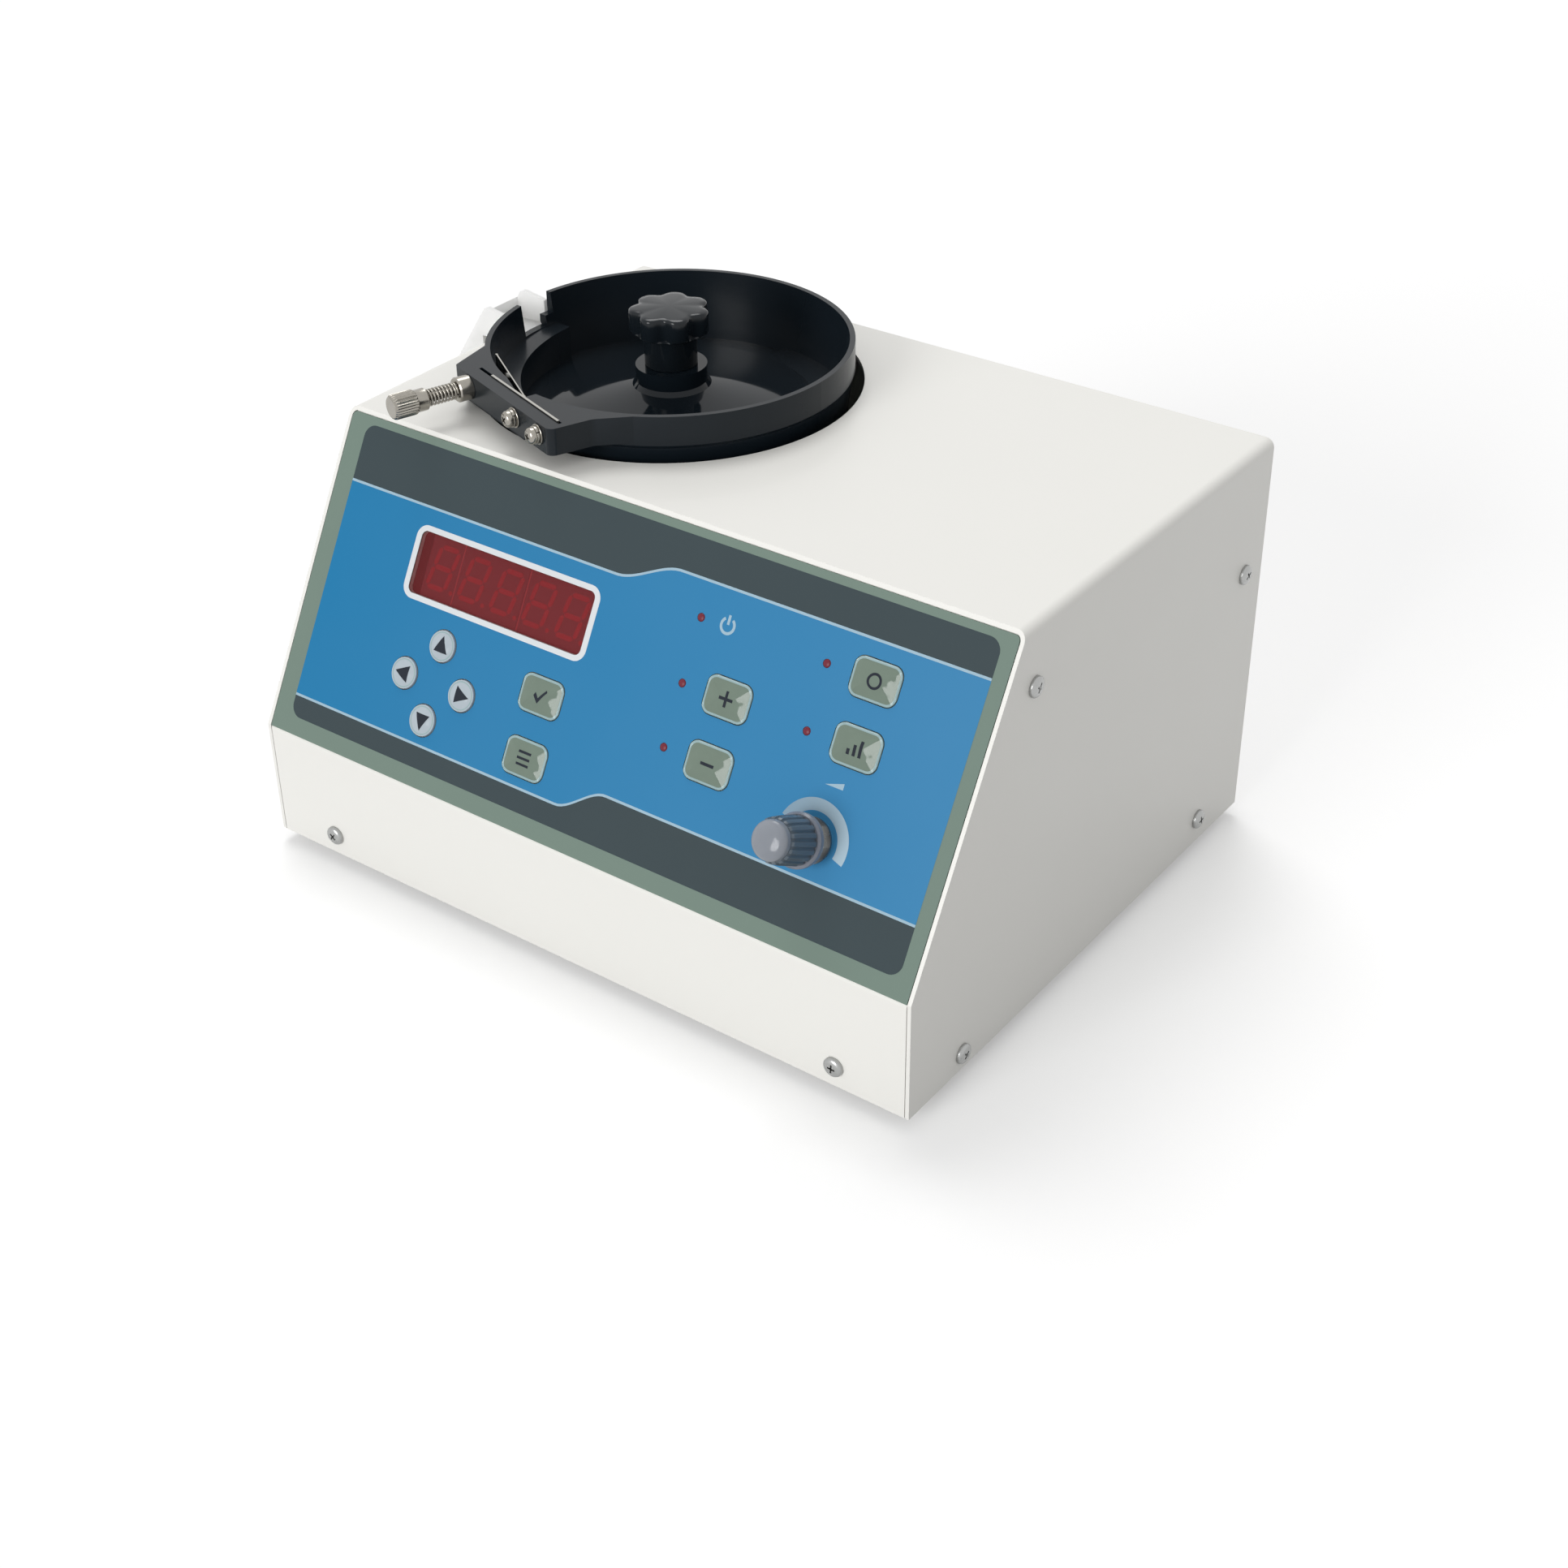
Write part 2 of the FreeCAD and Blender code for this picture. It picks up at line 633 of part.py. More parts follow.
def key(crown, flange, x, v):
    """Crown that shows through the overlay, a flange behind the sheet, and a stem."""
    flange_back = -PANEL_T - KEY_GAP - KEY_FLANGE_T
    stem = rounded_plate(KEY_STEM_W, KEY_STEM_W, 0, -stem_end(), flange_back)
    return on_panel(fuse(crown, flange, stem), x, v)


def arrow_key(x, v):
    top = -PANEL_T - KEY_GAP
    crown = turned([(0, top), (ARROW_R, top), (ARROW_R, KEY_RISE * 0.4), (ARROW_R * 0.85, KEY_RISE),
                    (0, KEY_RISE)])
    flange = rod(ARROW_R + KEY_RIM, top - KEY_FLANGE_T, top)
    return key(crown, flange, x, v)


def plain_key(x, v):
    top = -PANEL_T - KEY_GAP
    slab = rounded_plate(KEY_W, KEY_H, KEY_R, top, KEY_RISE)
    rim = [edge for edge in slab.Edges if edge.BoundBox.ZMin > KEY_RISE - 0.01]
    crown = slab.makeChamfer(KEY_RISE * 0.7, rim)
    flange = rounded_plate(KEY_W + 2 * KEY_RIM, KEY_H + 2 * KEY_RIM, KEY_R + KEY_RIM,
                           top - KEY_FLANGE_T, top)
    return key(crown, flange, x, v)


def indicator_leds():
    lens = turned([(0, -BOARD_DEPTH), (LED_R, -BOARD_DEPTH), (LED_R, -0.1), (0, LED_CROWN)])
    return group(on_panel(lens, x, v) for x, v in LED_SPOTS)


# Speed knob

def speed_pot():
    """Potentiometer body and its threaded bushing, bored for the shaft."""
    body = rod(POT_R, -PANEL_T - POT_T, -PANEL_T)
    bushing = rod(BUSH_R, -PANEL_T, BUSH_L)
    bore = rod(SHAFT_R + RUN_PLAY, -PANEL_T - POT_T + 2, BUSH_L + 1)
    lug_z = -PANEL_T - POT_T
    lugs = box(-POT_R + 2, POT_R - 2, -POT_R - 3, 0, lug_z, lug_z + 1)
    return on_panel(cut(fuse(body, bushing, lugs), bore), KNOB_X, KNOB_V)


def pot_shaft():
    shaft = rod(SHAFT_R, -PANEL_T - POT_T + 2 + RUN_PLAY, KNOB_FRONT - CAP_T - 3)
    return on_panel(shaft, KNOB_X, KNOB_V)


def pot_washer():
    ring = cut(rod(WASHER_R, 0, WASHER_T), rod(BUSH_R, -1, WASHER_T + 1))
    return on_panel(ring, KNOB_X, KNOB_V)


def pot_nut():
    top = WASHER_T + NUT_T
    corner = NUT_FLATS / 2 / math.cos(math.pi / 6)
    chamfer = turned([(0, 0), (corner, 0), (corner, top - 0.5), (NUT_FLATS / 2, top), (0, top)])
    nut = hexagon(NUT_FLATS, WASHER_T, top).common(chamfer)
    return on_panel(cut(nut, rod(BUSH_R, 0, top + 1)), KNOB_X, KNOB_V)


def speed_knob():
    """Fluted grip on a plain skirt, hollow behind for the nut and bored for the shaft."""
    grip_top = KNOB_FRONT - CAP_T
    skirt_top = KNOB_LIFT + SKIRT_T
    body = turned([(0, KNOB_LIFT), (SKIRT_R, KNOB_LIFT), (SKIRT_R - 0.5, skirt_top), (GRIP_R, skirt_top),
                   (GRIP_R - 0.9, grip_top), (0, grip_top)])
    ridge = rounded_plate(2 * FLUTE_R, 2 * FLUTE_R, 0, skirt_top + 0.6, grip_top + 1)
    flute = moved(ridge, GRIP_R + FLUTE_R * 0.5, turn=Rotation(Vector(0, 0, 1), 45))
    flutes = [moved(flute, turn=Rotation(Vector(0, 0, 1), 360 / FLUTE_COUNT * i)) for i in range(FLUTE_COUNT)]
    bore = rod(SHAFT_R, KNOB_LIFT - 1, grip_top - 3)
    return on_panel(cut(body, bore, *flutes), KNOB_X, KNOB_V)


def speed_knob_cap():
    """Smooth domed cap let on to the front of the grip."""
    foot = KNOB_FRONT - CAP_T
    cap = turned([(0, foot), (CAP_R, foot), (CAP_R, foot + CAP_T * 0.45), (CAP_R * 0.75, foot + CAP_T * 0.88),
                  (0, KNOB_FRONT)])
    return on_panel(cap, KNOB_X, KNOB_V)


# Bowl

def track_edge(radius_at, height_at):
    """Smooth curve round the bowl, whose radius and height change along the ledge."""
    steps = 20
    points = []
    for i in range(steps + 1):
        part = i / steps
        angle = math.radians(TRACK_START - part * TRACK_SWEEP)
        radius = radius_at(part)
        points.append(Vector(radius * math.cos(angle), radius * math.sin(angle), height_at(part)))
    curve = Part.BSplineCurve()
    curve.interpolate(points)
    return curve.toShape()


def spiral_track():
    """The climbing ledge, as a solid rooted in the floor and the wall."""
    root = FLOOR_Z - FLOOR_T / 4
    outer_r = BOWL_R_IN - WALL_T / 4

    def inner(part):
        return TRACK_START_R + part * (TRACK_END_R - TRACK_START_R)

    def outer(_part):
        return outer_r

    def climb(part):
        return RIM_Z - TRACK_START_DROP + part * (TRACK_START_DROP - TRACK_END_DROP)

    def foot(_part):
        return root

    inner_top = track_edge(inner, climb)
    outer_top = track_edge(outer, climb)
    inner_foot = track_edge(inner, foot)
    outer_foot = track_edge(outer, foot)
    faces = [Part.makeRuledSurface(inner_top, outer_top), Part.makeRuledSurface(inner_foot, inner_top),
             Part.makeRuledSurface(outer_foot, outer_top), Part.makeRuledSurface(inner_foot, outer_foot)]
    for end in (0, -1):
        corners = [edge.Vertexes[end].Point for edge in (inner_foot, inner_top, outer_top, outer_foot)]
        faces.append(Part.Face(Part.makePolygon(corners + corners[:1])))
    shell = Part.Shell(faces)
    shell.sewShape()
    ledge = Part.Solid(shell)
    if ledge.Volume < 0:
        ledge.reverse()
    return ledge


def bowl_profile():
    """Half section of the plain bowl, from the bore round the underside to the boss."""
    wall_foot_r = BOWL_R_IN - WALL_DRAFT
    fall = (BOSS_FLOOR_Z - FLOOR_Z) / (wall_foot_r - BOSS_BASE_R)
    recess_in = BOSS_BASE_R + 3
    recess_out = TABLE_R - 6
    return [(BORE_R, SEAT_Z), (recess_in, SEAT_Z),
            (recess_in, BOSS_FLOOR_Z - fall * (recess_in - BOSS_BASE_R) - FLOOR_T),
            (recess_out, BOSS_FLOOR_Z - fall * (recess_out - BOSS_BASE_R) - FLOOR_T),
            (recess_out, SEAT_Z), (BOWL_R - WALL_T - 1, SEAT_Z), (BOWL_R - 0.6, RIM_Z - BAND_H - 1),
            (BOWL_R, RIM_Z - BAND_H), (BOWL_R, RIM_Z), (BOWL_R_IN, RIM_Z), (wall_foot_r, FLOOR_Z),
            (BOSS_BASE_R, BOSS_FLOOR_Z), (BOSS_R, BOSS_FLOOR_Z + 1.4), (BOSS_R, BOSS_TOP), (BORE_R, BOSS_TOP)]


def gate_block():
    """Solid block outside the wall, with its flat face to the front left."""
    plan = [(FLANK_LEFT, circle_depth(FLANK_LEFT)), (BLOCK_LEFT, 0), (BLOCK_RIGHT, 0),
            (BLOCK_RIGHT + 0.9, SHOULDER_D), (FLANK_RIGHT, circle_depth(FLANK_RIGHT)), (0, FACE_OFFSET * 0.6)]
    block = placed_in(GATE, plan_prism(plan, [0, 1.6, 2.5, 5, 0, 0], CASE_TOP + BLOCK_LIFT, RIM_Z))
    inside = rod(BOWL_R - WALL_T / 2, CASE_TOP, RIM_Z + 1, AXIS.x, AXIS.y)
    low = (CASE_TOP, RIM_Z - BLOCK_DROP)
    front = placed_in(GATE, box(FLANK_LEFT, FLANK_RIGHT, -1, FRONT_DEEP, *low))
    right = placed_in(GATE, box(LEAF_ROOT[0] + FRONT_DEEP, FLANK_RIGHT, -1, 2 * SHOULDER_D, *low))
    return cut(block, inside, front, right)


def circle_depth(u):
    """How deep behind the gate's face the bowl's outside lies, at u."""
    return FACE_OFFSET - math.sqrt(BOWL_R ** 2 - u ** 2)


def leaf_angle():
    """Lean of the blade away from the face, as a turn about Z."""
    return math.degrees(math.atan2(LEAF_TIP[1] - LEAF_ROOT[1], LEAF_ROOT[0] - LEAF_TIP[0]))


def leaf_depth(u):
    """Depth of the blade's middle plane behind the face, at u."""
    part = (LEAF_ROOT[0] - u) / (LEAF_ROOT[0] - LEAF_TIP[0])
    return LEAF_ROOT[1] + part * (LEAF_TIP[1] - LEAF_ROOT[1])


def leaf_bottom():
    return RIM_Z - LEAF_DROP


def gate_pocket():
    """Room for the blade: the wall is open between the blade's root and its tip."""
    behind = POCKET_GAP / math.cos(math.radians(leaf_angle()))
    u0 = LEAF_TIP[0] - 1.5
    u1 = LEAF_ROOT[0] + 1.5
    plan = [(u0, leaf_depth(u0) - behind), (u0, FACE_OFFSET * 0.3), (u1, FACE_OFFSET * 0.3),
            (u1, leaf_depth(u1) - behind)]
    return placed_in(GATE, plan_prism(plan, [0, 0, 0, 0], leaf_bottom() - TIP_GAP, RIM_Z + 1))


def gate_slot():
    wide = SLOT_W / 2
    return placed_in(GATE, box(*SLOT_U, SLOT_D - wide, SLOT_D + wide, strip_bottom(), RIM_Z + 1))


def strip_bottom():
    return RIM_Z - CLAMP_DROP - STRIP_BELOW


def gate_bores():
    """Holes for the clamp screws, the bushing and the thumb screw."""
    bores = []
    for u in CLAMP_U:
        bores.append(across_gate(rod(SCREW_R + HOLE_PLAY, -SLOT_D, 1), u, CLAMP_DROP))
    bores.append(across_gate(rod(BUSHING_NOSE_R, -BUSHING_NOSE_L, 1), THUMB_U, THUMB_DROP))
    bores.append(across_gate(rod(THREAD_R + RUN_PLAY, -leaf_depth(THUMB_U), 1), THUMB_U, THUMB_DROP))
    return bores


def across_gate(shape, u, drop):
    """The shape with its Z pointing out of the gate's face, at u and this far below the rim."""
    return placed_in(GATE, shape, u, 0, RIM_Z - drop, LOOK_OUT)


def outlet_notch():
    """Stepped gap in the wall where the ledge runs out."""
    x0 = -BOWL_R - 1
    x1 = -TRACK_END_R
    low = box(x0, x1, -OUTLET_NEAR, OUTLET_FAR / 2, OUTLET_Z, RIM_Z + 1)
    high = box(x0, x1, 0, OUTLET_FAR, OUTLET_Z + OUTLET_STEP, RIM_Z + 1)
    return moved(fuse(low, high), AXIS.x, AXIS.y)


def bowl():
    shell = moved(turned(bowl_profile()), AXIS.x, AXIS.y)
    ledge = moved(spiral_track(), AXIS.x, AXIS.y)
    blank = shell.multiFuse([ledge, gate_block()])
    return cut(blank, gate_pocket(), gate_slot(), outlet_notch(), *gate_bores())


# Star knob

def star_knob():
    """Seven-lobed head on a stem, bored from below for the insert and the stud."""
    head_z = BOSS_TOP + STEM_H
    top = head_z + HEAD_H
    blank = turned([(0, BOSS_TOP), (STEM_R, BOSS_TOP), (STEM_R, head_z), (LOBE_R, head_z),
                    (LOBE_R, top - 0.8), (LOBE_R - 0.8, top), (0, top + DOME_H)])
    scallop = rod(SCALLOP_R, head_z - 0.01, top + DOME_H, SCALLOP_OUT)
    scallops = [moved(scallop, turn=Rotation(Vector(0, 0, 1), 360 / LOBE_COUNT * (i + 0.5)))
                for i in range(LOBE_COUNT)]
    insert_bore = rod(INSERT_R, BOSS_TOP - 1, BOSS_TOP + INSERT_H)
    stud_bore = rod(STUD_R + STUD_PLAY, BOSS_TOP, BOSS_TOP + STUD_REACH + 1)
    return moved(cut(blank, insert_bore, stud_bore, *scallops), AXIS.x, AXIS.y)


def knob_insert():
    sleeve = cut(rod(INSERT_R, BOSS_TOP, BOSS_TOP + INSERT_H),
                 rod(STUD_R + RUN_PLAY, BOSS_TOP - 1, BOSS_TOP + INSERT_H + 1))
    return moved(sleeve, AXIS.x, AXIS.y)


# Gate hardware

def gate_strip():
    thick = STRIP_T / 2
    return placed_in(GATE, box(*STRIP_U, SLOT_D - thick, SLOT_D + thick, strip_bottom(), RIM_Z + STRIP_PROUD))


def gate_leaf():
    """Spring blade that narrows the ledge, rolled round a pin at its root and curled at its free end."""
    reach = math.dist(LEAF_ROOT, LEAF_TIP)
    half = LEAF_T / 2
    top = RIM_Z - STRIP_PROUD
    blade = box(-reach, 0, -half, half, leaf_bottom(), top)
    rolls = [rod(LEAF_T, leaf_bottom(), top, x) for x in (-reach, 0)]
    turn = Rotation(Vector(0, 0, 1), -leaf_angle())
    return placed_in(GATE, fuse(blade, *rolls), *LEAF_ROOT, 0, turn)


def gate_screws():
    """Two screws with washers that clamp the blade's strip."""
    washer = cut(rod(CLAMP_WASHER_R, 0, CLAMP_WASHER_T), rod(SCREW_R, -1, 3))
    length = SLOT_D - STRIP_T / 2 + CLAMP_WASHER_T
    screw = moved(pan_screw(length, CLAMP_HEAD_R, CLAMP_HEAD_H), 0, 0, CLAMP_WASHER_T)
    pieces = []
    for u in CLAMP_U:
        pieces.append(across_gate(washer, u, CLAMP_DROP))
        pieces.append(across_gate(screw, u, CLAMP_DROP))
    return group(pieces)


def gate_bushing():
    bore_r = THREAD_R + RUN_PLAY
    body = turned([(bore_r, -BUSHING_NOSE_L), (BUSHING_NOSE_R, -BUSHING_NOSE_L), (BUSHING_NOSE_R, 0),
                   (BUSHING_R, 0), (BUSHING_R, BUSHING_L), (bore_r, BUSHING_L)])
    return across_gate(body, THUMB_U, THUMB_DROP)


def gate_spring():
    """Round wire coil between the bushing and the thumb screw's head."""
    height = THUMB_SHOULDER - BUSHING_L - 2 * COIL_WIRE_R - 0.1
    path = Part.makeHelix(height / COIL_TURNS, height, COIL_R)
    sides = 4
    ring = []
    for i in range(sides):
        angle = 2 * math.pi / sides * i
        ring.append(Vector(COIL_R + COIL_WIRE_R * math.cos(angle), 0, COIL_WIRE_R * math.sin(angle)))
    section = Part.makePolygon(ring + ring[:1])
    coil = Part.Wire(path.Edges).makePipeShell([section], True, True)
    return across_gate(moved(coil, 0, 0, BUSHING_L + COIL_WIRE_R + 0.05), THUMB_U, THUMB_DROP)


def gate_plunger():
    """Plain tip of the screw, which presses on the blade."""
    reach = leaf_depth(THUMB_U) - LEAF_T / 2 / math.cos(math.radians(leaf_angle())) - TIP_GAP
    tip = turned([(0, -reach), (TIP_R - 0.5, -reach), (TIP_R, -reach + 0.5), (TIP_R, -THREAD_END),
                  (0, -THREAD_END)])
    return across_gate(tip, THUMB_U, THUMB_DROP)


def thumb_screw():
    """Knurled head with a plain collar, on a thread that runs through the bushing."""
    collar_end = THUMB_SHOULDER + THUMB_COLLAR_L
    head = turned([(0, -THREAD_END), (THREAD_R, -THREAD_END), (THREAD_R, THUMB_SHOULDER),
                   (THUMB_COLLAR_R, THUMB_SHOULDER), (THUMB_COLLAR_R, collar_end), (THUMB_HEAD_R, collar_end),
                   (THUMB_HEAD_R, THUMB_END - 0.6), (THUMB_HEAD_R - 0.6, THUMB_END), (0, THUMB_END)])
    ridge = rounded_plate(KNURL_W, KNURL_W, 0, collar_end + 0.3, THUMB_END + 0.1)
    groove = moved(ridge, THUMB_HEAD_R + KNURL_W * 0.3, turn=Rotation(Vector(0, 0, 1), 45))
    grooves = [moved(groove, turn=Rotation(Vector(0, 0, 1), 360 / KNURL_COUNT * i)) for i in range(KNURL_COUNT)]
    return across_gate(cut(head, *grooves), THUMB_U, THUMB_DROP)


# Feeder

def tray_top():
    return CASE_BOTTOM + SHEET


def base_top():
    return tray_top() + ISOLATOR_H + BASE_T


def isolators():
    pad = rod(ISOLATOR_R, 0, ISOLATOR_H)
    pads = []
    for i in range(SPRING_COUNT):
        angle = 2 * math.pi / SPRING_COUNT * (i + 0.5)
        pads.append(moved(pad, AXIS.x + ISOLATOR_RING * math.cos(angle),
                          AXIS.y + ISOLATOR_RING * math.sin(angle), tray_top()))
    return group(pads)


def feeder_base():
    """Heavy cast disc with a raised seat for the magnet."""
    foot = tray_top() + ISOLATOR_H
    casting = turned([(0, foot), (BASE_R, foot), (BASE_R, base_top() - 2), (BASE_R - 2, base_top()),
                      (0, base_top())])
    return moved(casting, AXIS.x, AXIS.y)


def core_top():
    return base_top() + CORE_H


def magnet_core():
    """E-shaped stack with its three legs up."""
    half = CORE_W / 2
    deep = CORE_T / 2
    stack = box(-half, half, -deep, deep, base_top(), core_top())
    legs_z = base_top() + CORE_YOKE
    window = box(CORE_LEG, half - CORE_LEG, -deep - 1, deep + 1, legs_z, core_top() + 1)
    other = moved(window, turn=Rotation(Vector(0, 0, 1), 180))
    return moved(cut(stack, window, other), AXIS.x, AXIS.y)


def magnet_coil():
    z0 = base_top() + CORE_YOKE + 1
    outer = rounded_plate(2 * (CORE_LEG + COIL_T), CORE_T + 2 * COIL_T, 4, z0, z0 + COIL_H)
    inner = rounded_plate(2 * CORE_LEG + 0.2, CORE_T + 0.2, 0, z0 - 1, z0 + COIL_H + 1)
    return moved(cut(outer, inner), AXIS.x, AXIS.y)


def armature():
    """Steel block hung under the table, just clear of the core."""
    z0 = core_top() + AIR_GAP
    return moved(rounded_plate(CORE_W - 4, CORE_T, 0, z0, z0 + ARMATURE_T), AXIS.x, AXIS.y)


def vibrating_table():
    """Disc under the bowl with a hub that carries the armature."""
    top = SEAT_Z
    hub_z = core_top() + AIR_GAP + ARMATURE_T
    table = turned([(BORE_R, hub_z), (TABLE_HUB_R, hub_z), (TABLE_HUB_R, top - TABLE_T),
                    (TABLE_R, top - TABLE_T), (TABLE_R, top), (BORE_R, top)])
    return moved(table, AXIS.x, AXIS.y)


def centre_stud():
    stud = rod(STUD_R, core_top() + AIR_GAP + ARMATURE_T, BOSS_TOP + STUD_REACH)
    collar = rod(BORE_R, core_top() + AIR_GAP + ARMATURE_T, SEAT_Z)
    return moved(fuse(stud, collar), AXIS.x, AXIS.y)


def table_bottom():
    return SEAT_Z - TABLE_T


def leaning(shape, index):
    """The shape leaned with its spring and set on the ring of springs."""
    lean = Rotation(Vector(1, 0, 0), SPRING_TILT)
    middle = (base_top() + table_bottom()) / 2
    leaned = moved(shape, SPRING_RING, 0, middle, lean)
    return moved(leaned, AXIS.x, AXIS.y, 0, Rotation(Vector(0, 0, 1), 360 / SPRING_COUNT * index))


def spring_reach():
    """Half the length of a leaf spring, along its lean."""
    lean = math.radians(SPRING_TILT)
    return ((table_bottom() - base_top()) / 2 - SPRING_T) / math.cos(lean)


def leaf_springs():
    half_w = SPRING_W / 2
    half_t = SPRING_T / 2
    plate = box(-half_w, half_w, -half_t, half_t, -spring_reach(), spring_reach())
    return group(leaning(plate, i) for i in range(SPRING_COUNT))


def spring_clamps(upper):
    """Blocks beside the springs' ends, trimmed flat against the base or the table."""
    half_w = SPRING_W / 2
    near = SPRING_T / 2
    far = spring_reach() + CLAMP_L
    span = (spring_reach() - CLAMP_L, far) if upper else (-far, -spring_reach() + CLAMP_L)
    sides = (-near - CLAMP_T, -near) if upper else (near, near + CLAMP_T)
    block = box(-half_w, half_w, *sides, *span)
    room = rod(BASE_R + TABLE_R, base_top(), table_bottom(), AXIS.x, AXIS.y)
    return group(leaning(block, i).common(room) for i in range(SPRING_COUNT))


# Chute

def cheek_offset():
    """Inside of the bracket's cheeks, from the chute's middle plane."""
    return CHUTE_W / 2 + BRACKET_PLAY


def tube_near():
    """Side of the tube that faces the case."""
    return LEFT - CHUTE_OFF


def tube_far():
    return tube_near() - CHUTE_DEEP


def trough_end():
    return AXIS.x - BOWL_R - CHUTE_REACH


def chute():
    """Trough from the bowl's outlet to the case's edge, then a hooded drop tube with a spout."""
    half = CHUTE_W / 2
    near = tube_near()
    far = tube_far()
    under = CASE_TOP + TROUGH_LIFT
    mouth = CASE_TOP + MOUTH_RISE
    side = [(trough_end(), under), (near, under), (near, CHUTE_BOTTOM), (far, CHUTE_BOTTOM + SPOUT_SLANT),
            (far, CASE_TOP - HOOD_DROP), (LEFT, CASE_TOP + HOOD_RISE), (trough_end(), mouth)]
    outer = outline([Vector(x, -half, z) for x, z in side], [0, 0, 0, 0, 4.0, 2.0, 0])
    body = Part.Face(outer).extrude(Vector(0, CHUTE_W, 0))
    near_in = near - CHUTE_T
    far_in = far + CHUTE_T
    hood_slope = (HOOD_DROP + HOOD_RISE) / (LEFT - far)
    hood_far = CASE_TOP - HOOD_DROP + hood_slope * CHUTE_T - CHUTE_T * math.hypot(1, hood_slope)
    hood_near = hood_far + hood_slope * (near - far_in)
    floor = under + TROUGH_T
    beyond = trough_end() + 1
    inside = [(beyond, floor), (near_in, floor - TROUGH_T / 2), (near_in, CHUTE_BOTTOM - 1),
              (far_in, CHUTE_BOTTOM - 1), (far_in, hood_far), (near, hood_near), (near, RIM_Z), (beyond, RIM_Z)]
    wire = outline([Vector(x, CHUTE_T - half, z) for x, z in inside], [0] * len(inside))
    hollow = Part.Face(wire).extrude(Vector(0, CHUTE_W - 2 * CHUTE_T, 0))
    light_path = moved(rod(2.0, -half - 1, half + 1), (near + far) / 2, 0, sensor_z(),
                       Rotation(Vector(1, 0, 0), 90))
    return moved(cut(body, hollow, light_path), 0, AXIS.y)


def sensor_z():
    return BRACKET_Z[1] + SENSOR_H / 2


def sensor(side):
    """Block that holds one half of the light gate; it also rests on the bracket's cheek."""
    face = side * CHUTE_W / 2
    outer = side * (CHUTE_W / 2 + SENSOR_T)
    middle = (tube_near() + tube_far()) / 2
    z0 = BRACKET_Z[1]
    block = box(middle - SENSOR_L / 2, middle + SENSOR_L / 2, min(face, outer), max(face, outer),
                z0, z0 + SENSOR_H)
    barrel = moved(rod(1.8, 0, 1.2), middle, face, sensor_z(), Rotation(Vector(1, 0, 0), 90 * side))
    return moved(fuse(block, barrel), 0, AXIS.y)


def hasp_pin_place():
    """X and Y of the hasp's pin, in front of the bracket's near cheek."""
    return tube_far() - HASP_PLAY - HASP_T / 2, -cheek_offset() - BRACKET_T - HINGE_R + HASP_T / 2


def chute_bracket():
    """Channel screwed to the case, with a tab on each side and the hasp's pin riveted in."""
    z0, z1 = BRACKET_Z
    inside = cheek_offset()
    outside = inside + BRACKET_T
    back = box(LEFT - BRACKET_T, LEFT, -outside - TAB_W, outside + TAB_W, z0, z1)
    reach = tube_far() + 2.5
    cheeks = [box(reach, LEFT, inside, outside, z0, z1), box(reach, LEFT, -outside, -inside, z0, z1)]
    pin_x, pin_y = hasp_pin_place()
    middle = (z0 + z1) / 2
    ears = []
    for low in (middle - HASP_H / 2 - HASP_PLAY - BRACKET_T, middle + HASP_H / 2 + HASP_PLAY):
        arm = box(pin_x - HINGE_R, reach + 3, pin_y - HINGE_R, -inside, low, low + BRACKET_T)
        round_end = rod(HINGE_R, low, low + BRACKET_T, pin_x, pin_y)
        trimmed = cut(arm, box(pin_x - HINGE_R - 1, pin_x, pin_y - HINGE_R - 1, pin_y + HINGE_R, low - 1, low + 3),
                      box(pin_x - HINGE_R - 1, reach, pin_y + HINGE_R, 0, low - 1, low + 3))
        ears.append(fuse(trimmed, round_end))
    pin = rod(HASP_PIN_R, middle - HASP_H / 2 - HASP_PLAY - BRACKET_T,
              middle + HASP_H / 2 + HASP_PLAY + BRACKET_T, pin_x, pin_y)
    bracket = moved(fuse(back, *cheeks, *ears, pin), 0, AXIS.y)
    return cut(bracket, *screw_holes())


def hasp_arm():
    """Arm that swings across the chute's outer face and hooks round the far cheek."""
    pin_x, pin_y = hasp_pin_place()
    middle = (BRACKET_Z[0] + BRACKET_Z[1]) / 2
    z0 = middle - HASP_H / 2
    z1 = middle + HASP_H / 2
    far_y = cheek_offset() + BRACKET_T + HASP_PLAY
    knuckle = rod(HINGE_R, z0, z1, pin_x, pin_y)
    arm = box(pin_x - HASP_T / 2, pin_x + HASP_T / 2, pin_y, far_y + HASP_T, z0, z1)
    hook = box(pin_x - HASP_T / 2, pin_x + HASP_T / 2 + HOOK_L, far_y, far_y + HASP_T, z0, z1)
    lip = box(pin_x - HASP_T / 2 - 3, pin_x, far_y, far_y + HASP_T, z0 + 2, z1 - 2)
    bore = rod(HASP_PIN_R + RUN_PLAY, z0 - 1, z1 + 1, pin_x, pin_y)
    return moved(cut(fuse(knuckle, arm, hook, lip), bore), 0, AXIS.y)


# Electrics

def transformer():
    """Laminated stack on its two feet, with the winding round the middle leg."""
    long_x, long_y, tall = TRANSFORMER
    stack = box(-long_x / 2, long_x / 2, -long_y / 2 + WINDING_OUT, long_y / 2 - WINDING_OUT, 0, tall)
    yoke = WINDING_OUT - 1
    winding = rounded_plate(long_x - 2 * yoke, long_y, yoke / 2, yoke, tall - yoke)
    reach = long_x / 2 + TRANSFORMER_FOOT
    foot = box(-reach, reach, -TRANSFORMER_FOOT, TRANSFORMER_FOOT, 0, SHEET)
    return moved(fuse(stack, winding, foot), *TRANSFORMER_SPOT, tray_top())


